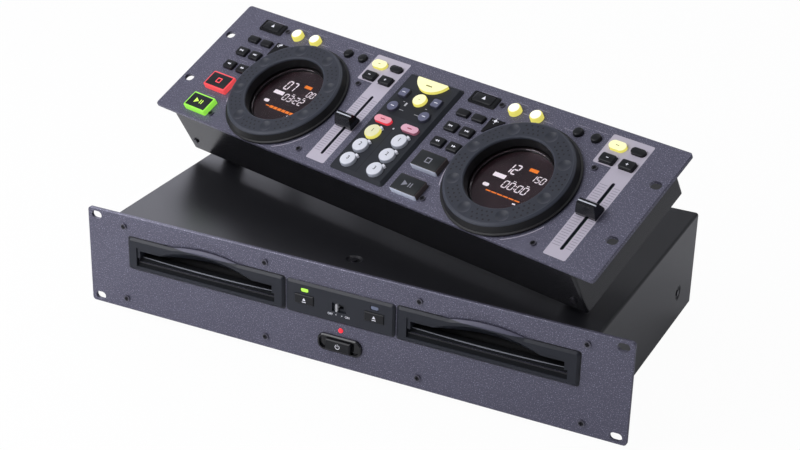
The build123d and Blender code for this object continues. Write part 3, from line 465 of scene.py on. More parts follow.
def raiseOutline(mesh, low, high, rim, steps=3):
    # lifts a flat outline into a closed body with a rounded upper rim
    risen = bmesh.ops.extrude_face_region(mesh, geom=mesh.faces[:])["geom"]
    top = [item for item in risen if isinstance(item, bmesh.types.BMVert)]
    bmesh.ops.translate(mesh, vec=(0, 0, high - low), verts=top)
    bmesh.ops.translate(mesh, vec=(0, 0, low), verts=mesh.verts)
    foot = [edge for edge in mesh.edges if edge.is_boundary]
    if foot:
        bmesh.ops.holes_fill(mesh, edges=foot, sides=0)
    bmesh.ops.recalc_face_normals(mesh, faces=mesh.faces)
    edges = [edge for edge in mesh.edges if all(abs(v.co.z - high) < 1e-4 for v in edge.verts)]
    bmesh.ops.bevel(mesh, geom=edges, offset=rim, affect="EDGES", segments=steps, profile=0.5,
                    material=-1, clamp_overlap=True)
    return mesh


def addTo(group, mesh, u, v, level, paint=None, turn=0.0):
    # puts a small mesh into a group's mesh at its place, with its paint's number
    place = Matrix.Translation((u, v, level)) @ Matrix.Rotation(radians(turn), 4, "Z")
    bmesh.ops.transform(mesh, matrix=place, verts=mesh.verts)
    if paint is not None:
        for face in mesh.faces:
            face.material_index = paint
    data = bpy.data.meshes.new("part")
    mesh.to_mesh(data)
    mesh.free()
    group.from_mesh(data)
    bpy.data.meshes.remove(data)


def turnMesh(mesh, degrees):
    bmesh.ops.rotate(mesh, cent=(0, 0, 0), matrix=Matrix.Rotation(radians(degrees), 3, "Z"), verts=mesh.verts)


def leanMesh(mesh, lean):
    for corner in mesh.verts:
        corner.co.x += lean * corner.co.y


def drawBar(length, width):
    mesh = bmesh.new()
    bmesh.ops.create_grid(mesh, x_segments=1, y_segments=1, size=0.5)
    bmesh.ops.scale(mesh, vec=(length, width, 1), verts=mesh.verts)
    return mesh


def drawPointer(size, turn=0.0):
    # triangle that points along u before its turn
    mesh = bmesh.new()
    bmesh.ops.create_circle(mesh, cap_ends=True, radius=size * 0.6, segments=3)
    turnMesh(mesh, turn - 90)
    return mesh


def drawRing(radius, width, start=0.0, sweep=360.0, steps=28):
    # flat ring, or an arc of one
    mesh = bmesh.new()
    ends = [mesh.verts.new((radius + side * width / 2, 0, 0)) for side in (-1, 1)]
    mesh.edges.new(ends)
    turnMesh(mesh, start)
    bmesh.ops.spin(mesh, geom=mesh.verts[:] + mesh.edges[:], cent=(0, 0, 0), axis=(0, 0, 1),
                   angle=radians(sweep), steps=steps, use_merge=sweep == 360)
    bmesh.ops.recalc_face_normals(mesh, faces=mesh.faces)
    if mesh.faces[0].normal.z < 0:
        bmesh.ops.reverse_faces(mesh, faces=mesh.faces)
    return mesh


iconParts = {
    # icon: (shape, u, v, size or width and height), all for a height of 1
    "previous": (("bar", -0.95, 0, 0.22, 0.9), ("left", -0.4, 0, 0.85), ("left", 0.4, 0, 0.85)),
    "next": (("right", -0.4, 0, 0.85), ("right", 0.4, 0, 0.85), ("bar", 0.95, 0, 0.22, 0.9)),
    "back": (("left", -0.45, 0, 0.95), ("left", 0.4, 0, 0.95)),
    "forward": (("right", -0.4, 0, 0.95), ("right", 0.45, 0, 0.95)),
    "play": (("right", -0.75, 0, 1.2), ("bar", 0.35, 0, 0.22, 0.95), ("bar", 0.85, 0, 0.22, 0.95)),
    "eject": (("up", 0, 0.1, 1.1),),
    "minus": (("bar", 0, 0, 1.0, 0.24),),
    "plus": (("bar", 0, 0, 1.0, 0.24), ("bar", 0, 0, 0.24, 1.0)),
    "square": (("bar", 0, 0.45, 1.1, 0.2), ("bar", 0, -0.45, 1.1, 0.2), ("bar", -0.45, 0, 0.2, 0.7),
               ("bar", 0.45, 0, 0.2, 0.7)),
    "dash": (("bar", 0, 0, 1.6, 0.3),),
}
pointerTurn = {"right": 0, "up": 90, "left": 180}
printLift = 0.03  # a print's height over the surface that carries it


def addIcon(group, icon, u, v, level, size, paint):
    for shape, x, y, *sizes in iconParts[icon]:
        if shape == "bar":
            part = drawBar(sizes[0] * size, sizes[1] * size)
        else:
            part = drawPointer(sizes[0] * size, pointerTurn[shape])
        addTo(group, part, u + x * size, v + y * size, level, paint)


def drawText(words, height):
    # plain figures or letters, as a flat mesh centred on the origin
    curve = bpy.data.curves.new("figures", "FONT")
    curve.body = words
    curve.align_x = "CENTER"
    curve.align_y = "CENTER"
    curve.size = height * 1.4
    curve.offset = height * 0.02
    item = bpy.data.objects.new("figures", curve)
    bpy.context.scene.collection.objects.link(item)
    bpy.context.view_layer.update()
    data = bpy.data.meshes.new_from_object(item.evaluated_get(bpy.context.evaluated_depsgraph_get()))
    mesh = bmesh.new()
    mesh.from_mesh(data)
    bpy.data.meshes.remove(data)
    bpy.data.objects.remove(item)
    bpy.data.curves.remove(curve)
    return mesh


segmentBars = {
    # segment: place across and up, in halves of the figure, and whether it stands
    "a": (0, 1, False), "b": (1, 0.5, True), "c": (1, -0.5, True), "d": (0, -1, False),
    "e": (-1, -0.5, True), "f": (-1, 0.5, True), "g": (0, 0, False),
}
litSegments = {"0": "abcdef", "1": "bc", "2": "abged", "3": "abgcd", "4": "fgbc", "5": "afgcd",
               "6": "afgedc", "7": "abc", "8": "abcdefg", "9": "abcdfg"}
segmentLook = {"thick": 0.13, "gap": 0.35, "corner": 0.45, "lean": 0.14}


def addFigures(group, figures, u, v, width, height, pitch, level, paint):
    # a row of seven-segment figures, centred on u and v
    thick = height * segmentLook["thick"]
    start = u - pitch * (len(figures) - 1) / 2
    for i, figure in enumerate(figures):
        for name in litSegments[figure]:
            x, y, stands = segmentBars[name]
            bar = drawBar((height / 2 if stands else width) - thick * segmentLook["gap"], thick)
            bmesh.ops.bevel(bar, geom=bar.verts[:], offset=thick * segmentLook["corner"], affect="VERTICES",
                            segments=1, profile=0.5, material=-1)
            if stands:
                turnMesh(bar, 90)
            bmesh.ops.translate(bar, vec=(x * width / 2, y * height / 2, 0), verts=bar.verts)
            leanMesh(bar, segmentLook["lean"])
            addTo(group, bar, start + i * pitch, v, level, paint)


keyFinishes = {
    # finish: colour, second shade, glow, glow strength, roughness
    "litTop": ((0.34, 0.34, 0.22), (0.32, 0.31, 0.19), (0.92, 0.90, 0.50), 0.90, 0.40),
    "litSide": ((0.30, 0.28, 0.06), (0.26, 0.24, 0.05), (0.84, 0.76, 0.16), 0.85, 0.40),
    "domeTop": ((0.36, 0.36, 0.32), (0.34, 0.34, 0.29), (1.0, 1.0, 0.82), 0.95, 0.40),
    "whiteTop": ((0.62, 0.63, 0.68), (0.55, 0.56, 0.62), (0.80, 0.82, 0.92), 0.16, 0.45),
    "whiteSide": ((0.36, 0.38, 0.44), (0.30, 0.32, 0.38), (0.6, 0.62, 0.7), 0.06, 0.45),
    "warmTop": ((0.50, 0.50, 0.34), (0.46, 0.45, 0.28), (0.90, 0.86, 0.55), 0.42, 0.45),
    "pinkTop": ((0.50, 0.20, 0.25), (0.46, 0.18, 0.22), (0.95, 0.40, 0.48), 0.42, 0.45),
    "pinkSide": ((0.45, 0.03, 0.05), (0.40, 0.02, 0.04), (1.0, 0.05, 0.08), 0.60, 0.45),
    "paleTop": ((0.58, 0.32, 0.40), (0.52, 0.28, 0.36), (0.95, 0.52, 0.65), 0.22, 0.45),
    "paleSide": ((0.42, 0.14, 0.21), (0.36, 0.12, 0.18), (0.8, 0.3, 0.4), 0.10, 0.45),
    "greyTop": ((0.125, 0.130, 0.200), (0.095, 0.100, 0.160), (0.15, 0.16, 0.24), 0.10, 0.42),
    "greySide": ((0.050, 0.052, 0.080), (0.040, 0.041, 0.065), (0.07, 0.07, 0.1), 0.05, 0.42),
    "redLit": ((0.45, 0.04, 0.05), (0.40, 0.03, 0.04), (0.95, 0.09, 0.10), 0.72, 0.35),
    "greenLit": ((0.16, 0.40, 0.04), (0.20, 0.42, 0.03), (0.30, 0.85, 0.08), 0.75, 0.35),
    # the next two finishes dress deck b's unlit buttons: the lighter near-side finish is a painted highlight,
    # and the faint glow of both is painted light, no lamp
    "silverUnlit": ((0.55, 0.58, 0.68), (0.46, 0.49, 0.58), (0.4, 0.45, 0.6), 0.10, 0.25),
    "smokeClear": ((0.085, 0.070, 0.070), (0.055, 0.045, 0.046), (0.1, 0.08, 0.08), 0.05, 0.15),
    "capBlack": ((0.010, 0.013, 0.015), (0.007, 0.009, 0.011), (0.0, 0.0, 0.0), 0.0, 0.45),
    # the next two inks glow faintly, also where they are plain print on unlit parts such as the player's face
    # marks: that glow is painted light, no lamp
    "inkWhite": ((0.70, 0.70, 0.74), (0.62, 0.62, 0.68), (0.9, 0.9, 1.0), 0.25, 0.50),
    "inkGrey": ((0.24, 0.24, 0.28), (0.20, 0.20, 0.24), (0.3, 0.3, 0.35), 0.05, 0.50),
    "inkDark": ((0.030, 0.030, 0.045), (0.020, 0.020, 0.032), (0.0, 0.0, 0.0), 0.0, 0.60),
    "inkOlive": ((0.20, 0.18, 0.03), (0.16, 0.14, 0.02), (0.40, 0.36, 0.08), 0.20, 0.60),
    "inkRose": ((0.30, 0.03, 0.06), (0.26, 0.02, 0.05), (0.3, 0.0, 0.02), 0.10, 0.60),
    "inkRed": ((0.50, 0.04, 0.05), (0.45, 0.03, 0.04), (1.0, 0.09, 0.11), 0.85, 0.40),
    "inkGreen": ((0.30, 0.45, 0.05), (0.28, 0.42, 0.04), (0.62, 1.0, 0.14), 0.85, 0.40),
    "glowWhite": ((0.3, 0.3, 0.32), (0.28, 0.28, 0.3), (1.0, 0.98, 1.0), 1.0, 0.5),
    "glowOrange": ((0.3, 0.09, 0.01), (0.28, 0.08, 0.01), (1.0, 0.26, 0.02), 1.0, 0.5),
    "lampGreen": ((0.20, 0.40, 0.05), (0.24, 0.42, 0.04), (0.50, 0.95, 0.10), 0.90, 0.35),
    "lampBlue": ((0.16, 0.18, 0.26), (0.12, 0.14, 0.21), (0.3, 0.34, 0.5), 0.12, 0.30),
    "lampRed": ((0.50, 0.02, 0.03), (0.45, 0.01, 0.02), (1.0, 0.04, 0.06), 1.0, 0.25),
}


keyShine = {"specular": 0.3, "cloud": 6.0, "grain": 0.5, "roughChange": 0.08, "glowShade": 0.86}


def makeKeyFinishes():
    for name, (colour, shade, glow, strength, rough) in keyFinishes.items():
        shader = Shader(name, Emission_Strength=strength, Specular_IOR_Level=keyShine["specular"])
        place = shader.here()
        cloud = shader.noise(place, keyShine["cloud"])
        grain = shader.noise(place, keyShine["grain"])
        dim = tuple(keyShine["glowShade"] * c for c in glow)
        shader.set(Base_Color=shader.mix(cloud, shade, colour), Emission_Color=shader.mix(cloud, dim, glow))
        shader.set(Roughness=rough + keyShine["roughChange"] * grain)
        shader.bump(grain, 0.08, 0.04)
        finishes[name] = shader


keyLevels = {"foot": -4.5, "console": 3.0}
keyColumns = (-79.3, -63.0)
tempoColumns = (60.8, 79.0)
hotCueRows = (-16.8, -33.0, -49.2)
hotCueColumn = 14.8
searchRows = (
    # v, width, icons
    (31.5, 7.0, (None, None)),
    (15.3, 9.0, ("previous", "next")),
    (-2.2, 9.0, ("back", "forward")),
)

deckKeys = {
    # node: kind, length, width, u, v, rise, rim, look, icon, icon size
    "search_keys": [
        ("block", 12.0, width, column, row, 2.6, 0.9, "dark", icon, 2.3)
        for row, width, icons in searchRows for column, icon in zip(keyColumns, icons)
    ],
    "loop_keys": [
        ("round", 11.0, 11.0, -39.5, 50.0, 5.0, 1.9, "dome", None, 0),
        ("round", 11.0, 11.0, -18.0, 50.5, 5.0, 1.9, "dome", None, 0),
        ("round", 8.5, 8.5, 23.0, 50.0, 3.0, 1.2, "dark", None, 0),
        ("round", 8.5, 8.5, 40.0, 50.0, 3.0, 1.2, "dark", None, 0),
    ],
    "tempo_keys": [
        ("oval", 15.0, 8.4, tempoColumns[0], 49.5, 2.6, 1.0, "lit", "dash", 2.0),
        ("oval", 13.0, 6.2, tempoColumns[1], 50.5, 2.2, 0.9, "dark", None, 0),
        ("block", 13.0, 8.5, tempoColumns[0], 35.8, 3.0, 0.9, "dark", "minus", 2.4),
        ("block", 13.0, 8.5, tempoColumns[1], 35.8, 3.0, 0.9, "dark", "plus", 2.4),
    ],
    "deck_eject_button": [("block", 20.0, 9.0, -72.0, 50.5, 2.2, 0.6, "dark", "eject", 3.4)],
}

consoleMiddle = 0.8
consoleKeys = {
    "sync_button": [("half", 33.0, 12.4, 0.0, 48.4, 2.6, 0.9, "lit", "dash", 4.0)],
    "counter_keys": [
        ("round", 12.4, 12.4, 1.5, 26.8, 2.6, 0.9, "lit", "dash", 1.4),
        *(("block", 8.6, 8.6, side * 17.6, 29.2, 2.2, 0.6, "grey", "dash", 2.2) for side in (-1, 1)),
        *(("round", 10.2, 10.2, side * 17.2, 13.0, 2.2, 0.6, "grey", "dash", 2.2) for side in (-1, 1)),
    ],
    "record_keys": [
        ("oval", 17.4, 6.8, -hotCueColumn, -2.6, 2.4, 0.8, "pink", "dash", 3.0),
        ("oval", 17.4, 6.8, hotCueColumn, -2.6, 2.4, 0.8, "pale", "dash", 3.0),
    ],
    "hot_cue_keys": [
        ("round", 14.0, 14.0, side * hotCueColumn, row, 2.8, 0.9,
         "warm" if (side, i) == (-1, 0) else "white", str(i + 1), 3.6)
        for i, row in enumerate(hotCueRows) for side in (-1, 1)
    ],
}

looks = {
    # look: side, top and ink of a key
    "dark": ("keyBlack", "keyBlack", "inkWhite"),
    "lit": ("litSide", "litTop", "inkOlive"),
    "dome": ("litSide", "domeTop", "inkOlive"),
    "grey": ("greySide", "greyTop", "inkWhite"),
    "white": ("whiteSide", "whiteTop", "inkDark"),
    "warm": ("litSide", "warmTop", "inkOlive"),
    "pink": ("pinkSide", "pinkTop", "inkRose"),
    "pale": ("paleSide", "paleTop", "inkRose"),
}

hotCueTab = {
    # small light that stands beside a hot cue key, at its upper right
    "size": (3.4, 2.0),
    "corner": 0.4,
    "drop": 0.3,
    "place": (0.36, 0.42),
    "turn": -20,
}


def addKey(group, key, middle, base, paints):
    kind, length, width, u, v, rise, rim, look, icon, iconSize = key
    side, top, ink = (paints.index(name) for name in looks[look])
    u += middle
    high = base + rise
    cap = raiseOutline(drawOutline(kind, length, width), keyLevels["foot"], high, rim)
    for face in cap.faces:
        face.material_index = top if min(corner.co.z for corner in face.verts) > high - rim * 0.35 else side
    addTo(group, cap, u, v, 0)
    if icon in iconParts:
        drop = width * 0.5 if kind == "half" else 0
        addIcon(group, icon, u, v - drop, high + printLift, iconSize, ink)
    elif icon:
        addTo(group, drawText(icon, iconSize), u, v + 0.6, high + printLift, ink)
    if look in ("white", "warm"):
        tab = drawOutline("block", *hotCueTab["size"], hotCueTab["corner"])
        tab = raiseOutline(tab, base, high - hotCueTab["drop"], hotCueTab["drop"])
        x, y = hotCueTab["place"]
        addTo(group, tab, u + length * x, v + length * y, 0, paints.index("whiteTop"), hotCueTab["turn"])


def makeKeys():
    paints = sorted({name for look in looks.values() for name in look})
    for deck, middle in decks.items():
        for node, keys in deckKeys.items():
            group = bmesh.new()
            for key in keys:
                addKey(group, key, middle, 0.0, paints)
            name = f"{node}_{deck}"
            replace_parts(finishPiece(group, "caps_" + name, name, paints), name)
    for node, keys in consoleKeys.items():
        group = bmesh.new()
        for key in keys:
            addKey(group, key, consoleMiddle, keyLevels["console"], paints)
        slot = "key_record" if node == "record_keys" else "key_light"
        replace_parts(finishPiece(group, "caps_" + node, node, paints), node)


bigButtons = {
    "size": (27.0, 17.0),
    "corner": 1.3,
    "rim": 0.7,
    "rise": 5.0,
    "border": {"a": 1.5, "b": 0.7},
    "lidProud": 0.25,
    "lidCorner": 0.8,
    "column": -70.8,
    # node, v, icon, icon size, slot, finish and ink on deck a, then on deck b
    "rows": (
        ("cue_button", -24.0, "square", 5.0, "key_cue", ("redLit", "inkRed"), ("silverUnlit", "inkGrey")),
        ("play_button", -51.0, "play", 4.6, "key_play", ("greenLit", "inkGreen"), ("silverUnlit", "inkGrey")),
    ),
}


def makeBigButtons():
    length, width = bigButtons["size"]
    rise = bigButtons["rise"]
    top = rise - bigButtons["lidProud"]
    for node, v, icon, size, slot, *paintPairs in bigButtons["rows"]:
        for (deck, middle), (side, ink) in zip(decks.items(), paintPairs):
            u = middle + bigButtons["column"]
            border = bigButtons["border"][deck]
            group = bmesh.new()
            body = drawOutline("block", length, width, bigButtons["corner"])
            body = raiseOutline(body, keyLevels["foot"], top, bigButtons["rim"])
            for face in body.faces:
                # painted highlight: the near side, which catches the light, takes the lighter finish; the
                # others look into the clear moulding
                face.material_index = 0 if deck == "a" or face.normal.y < -0.4 else 3
            addTo(group, body, u, v, 0)
            lid = drawOutline("block", length - 2 * border, width - 2 * border, bigButtons["lidCorner"])
            addTo(group, raiseOutline(lid, top - 1, rise, bigButtons["lidProud"], 2), u, v, 0, 1)
            addIcon(group, icon, u, v, rise + printLift, size, 2)
            name = f"{node}_{deck}"
            paints = (side, "capBlack", ink, "smokeClear")
            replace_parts(finishPiece(group, "lit_" + name, name, paints), name)


display = {
    # middle of the dial from the middle of its deck
    "jog": (2.1, -11.0),
    "floor": -4.94,
    "printLift": 0.06,
    "radius": 33.2,
    "cloud": 30.0,
    "grain": 0.4,
    "black": (0.010, 0.006, 0.008),
    "warm": (0.034, 0.014, 0.017),
    "glow": 0.25,
    # shown on decks a and b, u, v, width, height, pitch
    "figures": (
        (("07", "12"), -9.4, 12.9, 4.4, 9.4, 6.4),
        (("00", "150"), 16.5, 11.2, 3.0, 6.0, 4.5),
    ),
    # bars: ink (1 white, 2 orange), length, width, u, v
    "bars": (
        (2, 8.2, 3.2, 7.8, 17.6),
        (1, 11.6, 4.0, -15.5, 3.0),
        (1, 3.0, 1.2, 13.0, -16.6),
    ),
    "pill": (6.0, 3.2, -20.5, -8.6),
}

clock = {
    # shown on decks a and b, u
    "figures": ((("03", "00"), -2.6), (("22", "00"), 10.4)),
    "size": (3.9, 6.8, 5.7),
    "row": {"a": 0.8, "b": -2.6},
    "dot": 1.1,
    "dotColumn": 4.0,
    "dotRise": 1.5,
    "units": (0.6, 13.2),
    "unitSize": (2.6, 0.6),
    "unitRise": 5.1,
}

progress = {
    # row of orange blocks that shows how far the disc has played
    "count": {"a": 7, "b": 6},
    "length": 34.0,
    "start": -17.5,
    "row": -13.2,
    "gap": 0.9,
    "low": 1.1,
    "high": 2.6,
    "lean": 0.15,
}


def makeDisplayFinish():
    shader = Shader("displayGlow", Roughness=0.4, Emission_Strength=display["glow"])
    cloud = shader.noise(shader.here(), display["cloud"])
    warm = shader.mix(cloud, display["black"], display["warm"])
    shader.set(Base_Color=warm, Emission_Color=warm)
    shader.bump(shader.noise(shader.here(), display["grain"], 1.0), 0.05, 0.02)
    finishes["displayGlow"] = shader


def addClock(group, deck, index, u, v, level):
    v += clock["row"][deck]
    for shown, x in clock["figures"]:
        addFigures(group, shown[index], u + x, v, *clock["size"], level, 1)
    for rise in (-clock["dotRise"], clock["dotRise"]):
        dot = drawOutline("round", clock["dot"], 0)
        addTo(group, dot, u + clock["dotColumn"] + 0.1 * rise, v + rise, level, 1)
    for x in clock["units"]:
        addTo(group, drawBar(*clock["unitSize"]), u + x, v + clock["unitRise"], level, 1)


def addProgress(group, deck, u, v, level):
    pitch = progress["length"] / progress["count"][deck]
    for i in range(progress["count"][deck]):
        tall = progress["high"] if deck == "a" and i else progress["low"]
        bar = drawBar(pitch - progress["gap"], tall)
        leanMesh(bar, progress["lean"])
        addTo(group, bar, u + progress["start"] + (i + 0.5) * pitch, v + progress["row"], level, 2)


def makeDisplays():
    level = display["floor"] + display["printLift"]
    for index, (deck, middle) in enumerate(decks.items()):
        u = middle + display["jog"][0]
        v = display["jog"][1]
        group = bmesh.new()
        addTo(group, drawOutline("round", 2 * display["radius"], 0), u, v, display["floor"], 0)
        for shown, x, y, width, height, pitch in display["figures"]:
            addFigures(group, shown[index], u + x, v + y, width, height, pitch, level, 1)
        for paint, length, width, x, y in display["bars"]:
            addTo(group, drawBar(length, width), u + x, v + y, level, paint)
        addClock(group, deck, index, u, v, level)
        addProgress(group, deck, u, v, level)
        length, width, x, y = display["pill"]
        addTo(group, drawOutline("oval", length, width), u + x, v + y, level, 1)
        paints = ("displayGlow", "glowWhite", "glowOrange")
        finishPiece(group, "display_face_" + deck, "controller", paints, smooth=False)


window = {
    "tint": (0.86, 0.80, 0.84),
    "tintDark": (0.80, 0.74, 0.78),
    "cloud": 15.0,
    "bend": 1.35,
    "rough": 0.03,
}


def paintWindows():
    glass = Shader("smokedWindow", Transmission_Weight=1.0, IOR=window["bend"], Roughness=window["rough"])
    haze = glass.noise(glass.here(), window["cloud"])
    glass.set(Base_Color=glass.mix(haze, window["tintDark"], window["tint"]))
    paintNode("display_windows", glass)


jogLook = {
    "top": (0.032, 0.036, 0.050),
    "topDark": (0.024, 0.027, 0.038),
    "side": (0.006, 0.006, 0.007),
    "edge": (0.058, 0.064, 0.086),
    "edgeShare": 0.55,
    "rough": 0.42,
    "ringInner": 37.2,
    "ringOuter": 50.4,
    "rimOuter": 53.2,
    "topLevel": 8.6,
    "sideDrop": 0.9,
    "dimpleTurn": 45.0,
    "dimpleClear": 10.0,
    "firstDimple": {"a": 21.0, "b": 31.0},
    "pitAngle": 6.0,
    "pitRows": (40.2, 44.1, 48.0),
    "pitSize": 0.85,
    # the pits' dark colour is painted shade
    "pitShade": (0.004, 0.004, 0.006),
    "pitShare": 0.85,
}


def makeJogFinish(deck):
    # rows of small pits between the finger dimples, darkened with painted shade, and paler edges to the ring
    shader = Shader("jogPlastic_" + deck, Specular_IOR_Level=0.35)
    middle = controlSpace @ Matrix.Translation((decks[deck] + display["jog"][0], display["jog"][1], 0))
    x, y, w = shader.split(shader.here(middle))
    radius = distance(x, y)
    turn = y.degreesFrom(x) + (360 - jogLook["firstDimple"][deck] + jogLook["pitAngle"] / 2)
    # the turn counted in pits, and how many degrees away the nearest finger dimple is
    steps = turn / jogLook["pitAngle"]
    stepLength = jogLook["pitAngle"] * pi / 180
    dimples = (turn - jogLook["pitAngle"] / 2) / jogLook["dimpleTurn"]
    fromDimple = abs((dimples + 0.5).part() - 0.5) * jogLook["dimpleTurn"]
    pits = None
    for i, row in enumerate(jogLook["pitRows"]):
        # the middle row stands half a step on
        here = ((steps + 0.5 if i == 1 else steps).part() - 0.5) * stepLength * radius
        pit = distance(radius - row, here) < jogLook["pitSize"]
        pits = pit if pits is None else pits.most(pit)
    pits = pits * (fromDimple > jogLook["dimpleClear"]) * (w > jogLook["topLevel"])
    cloud = shader.noise(shader.here(), 18.0, 3.0)
    grain = shader.noise(shader.here(), 0.35)
    top = shader.mix(cloud, jogLook["topDark"], jogLook["top"])
    edge = (radius > jogLook["ringOuter"]) * (radius < jogLook["rimOuter"])
    edge = edge.most(radius < jogLook["ringInner"])
    top = shader.mix(edge * jogLook["edgeShare"], top, jogLook["edge"])
    colour = shader.mix(w > jogLook["topLevel"] - jogLook["sideDrop"], jogLook["side"], top)
    # the pits are darkened with painted shade
    colour = shader.mix(pits * jogLook["pitShare"], colour, jogLook["pitShade"])
    shader.set(Base_Color=colour, Roughness=jogLook["rough"] + 0.12 * grain)
    shader.bump(grain * 0.25 - pits, 0.5, 0.25)
    paintNode("jog_dial_" + deck, shader)


def insideBox(u, v, box, corner=0.0):
    # one inside a box with rounded corners, zero outside
    across = abs(u - (box[0] + box[1]) / 2) - ((box[1] - box[0]) / 2 - corner)
    along = abs(v - (box[2] + box[3]) / 2) - ((box[3] - box[2]) / 2 - corner)
    if not corner:
        return across.most(along) < 0.0
    return distance(across.most(0.0), along.most(0.0)) < corner


def insideBoxes(u, v, boxes):
    inside = insideBox(u, v, boxes[0])
    for box in boxes[1:]:
        inside = inside.most(insideBox(u, v, box))
    return inside


deckPrint = {
    # lilac ground of the tempo fader and its keys, with two scales of ticks left out of it
    "ground": ((50.0, 88.0, 30.0, 60.0), (67.5, 88.0, -59.5, 31.0)),
    "corner": 1.5,
    "scales": ((68.6, 75.6), (81.8, 86.8)),
    "scaleV": (-49.0, 15.2),
    "step": 2.4,
    "line": 0.42,
    "tickShare": 0.72,
    # arcs beside the dial: radius from and to, then the turns from and to of each
    "arcRadius": (58.4, 59.1),
    "arcs": ((-62.0, -28.0), (-178.0, -152.0)),
    "arcShare": 0.9,
    # links between the keys of the upper row, and the lines over each pair of search keys
    "links": ((-32.5, -25.5, 50.3, 50.8), (-11.5, -2.0, 49.9, 50.4), (9.0, 17.5, 49.9, 50.4),
              (-80.0, -64.0, 57.6, 58.0), (-76.0, -66.0, 38.3, 38.7), (-78.0, -63.5, 24.4, 24.8),
              (-76.0, -65.5, 6.8, 7.2), (-75.0, -65.0, -38.6, -38.2), (-46.0, -33.0, 58.6, 59.0),
              (-24.0, -12.0, 59.2, 59.6), (17.0, 29.0, 57.2, 57.6), (34.0, 46.0, 57.4, 57.8)),
    "linkShare": 0.5,
}


def printDeck():
    shader = finishes["deckPaint"]
    u, v, w = shader.split(shader.here(controlSpace))
    # the same print on both decks, measured from the middle of each
    deckU = ((u + 2 * deckPitch) / deckPitch).part() * deckPitch - deckPitch / 2
    block, stem = (insideBox(deckU, v, box, deckPrint["corner"]) for box in deckPrint["ground"])
    lilac = block.most(stem)
    low, high = deckPrint["scaleV"]
    tick = ((v - low) / deckPrint["step"]).part() < deckPrint["line"] / deckPrint["step"]
    for left, right in deckPrint["scales"]:
        scale = insideBox(deckU, v, (left, right, low, high + 0.3)) * tick
        lilac = lilac - scale * deckPrint["tickShare"]
    x = deckU - display["jog"][0]
    y = v - display["jog"][1]
    radius = distance(x, y)
    turn = y.degreesFrom(x)
    inner, outer = deckPrint["arcRadius"]
    ring = (radius > inner) * (radius < outer)
    first, second = (ring * (turn > start) * (turn < end) for start, end in deckPrint["arcs"])
    links = insideBoxes(deckU, v, deckPrint["links"])
    ink = lilac.most(first.most(second) * deckPrint["arcShare"]).most(links * deckPrint["linkShare"])
    ink = ink * (w > -0.3)
    colour = shader.mix(ink, shader.baseColour(), panelPaint["print"])
    shader.set(Base_Color=colour, Metallic=panelPaint["metal"] * (1.0 - ink))


playerMarks = {
    "ejectColumn": 31.2,
    "ejectRow": 54.5,
    "ejectSize": 2.6,
    "ejectTop": 3.4,
    # bar under each eject mark: length, width, drop
    "ejectBar": (3.6, 0.7, 1.9),
    "powerRow": 21.0,
    "powerTop": 5.0,
    # ring with a gap at its top: radius, width, start, sweep
    "powerRing": (1.9, 0.5, 125, 290),
    "powerBar": (0.5, 2.4, 1.3),
    "switchRow": 48.2,
    "switchTop": 2.5,
    "switchWords": (("OFF", -7.8), ("ON", 7.4)),
    "wordSize": 1.9,
    "pointerSize": 1.1,
    "pointerColumn": 2.6,
}


def finishMark(group, name, body):
    finishPiece(group, name, body, ["inkWhite"], faceSpace, False)


def makePlayerMarks():
    marks = playerMarks
    top = marks["ejectTop"] + printLift
    length, width, drop = marks["ejectBar"]
    for deck, side in (("a", -1), ("b", 1)):
        group = bmesh.new()
        u = side * marks["ejectColumn"]
        addIcon(group, "eject", u, marks["ejectRow"], top, marks["ejectSize"], 0)
        addTo(group, drawBar(length, width), u, marks["ejectRow"] - drop, top, 0)
        finishMark(group, "mark_eject_" + deck, "eject_button_" + deck)
    group = bmesh.new()
    top = marks["powerTop"] + printLift
    width, length, rise = marks["powerBar"]
    addTo(group, drawRing(*marks["powerRing"]), 0, marks["powerRow"], top, 0)
    addTo(group, drawBar(width, length), 0, marks["powerRow"] + rise, top, 0)
    finishMark(group, "mark_power", "power_button")
    group = bmesh.new()
    top = marks["switchTop"] + printLift
    for word, u in marks["switchWords"]:
        addTo(group, drawText(word, marks["wordSize"]), u, marks["switchRow"], top, 0)
    for side in (-1, 1):
        pointer = drawPointer(marks["pointerSize"], 90)
        addTo(group, pointer, side * marks["pointerColumn"], marks["switchRow"] + 0.3, top, 0)
    finishMark(group, "marks_mode", "player")


lampLook = {
    # two oval lamps over the eject keys, and the round one over the power switch
    "places": ((-31.2, 62.8), (31.2, 62.8)),
    "size": (6.8, 3.2),
    "foot": -2.5,
    "top": 2.2,
    "rim": 0.5,
    "ledPlace": (0.5, 33.7),
    "ledSize": 4.0,
    "ledFoot": -4.0,
    "ledTop": 1.2,
    "ledRim": 1.1,
}


def makeLamps():
    group = bmesh.new()
    for paint, (u, v) in enumerate(lampLook["places"]):
        pill = drawOutline("oval", *lampLook["size"])
        addTo(group, raiseOutline(pill, lampLook["foot"], lampLook["top"], lampLook["rim"]), u, v, 0, paint)
    led = drawOutline("round", lampLook["ledSize"], 0)
    led = raiseOutline(led, lampLook["ledFoot"], lampLook["ledTop"], lampLook["ledRim"], 5)
    addTo(group, led, *lampLook["ledPlace"], 0, 2)
    piece = finishPiece(group, "lamps", "player", ("lampGreen", "lampBlue", "lampRed"), faceSpace)
    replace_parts(piece, "indicator_lamps")


cornerMark = {
    # signs behind the small windows beside the dials
    "place": (-48.2, 35.3),
    "level": 0.63,
    # deck a: an oval and a ring
    "oval": (3.6, 1.7),
    "ovalTurn": 25,
    "ring": (1.3, 0.4),
    "ringPlace": (-1.6, -1.4),
    # deck b: a diamond with four pointers round it
    "diamond": 2.6,
    "drop": 0.6,
    "pointer": 0.9,
    "pointerReach": 2.7,
}


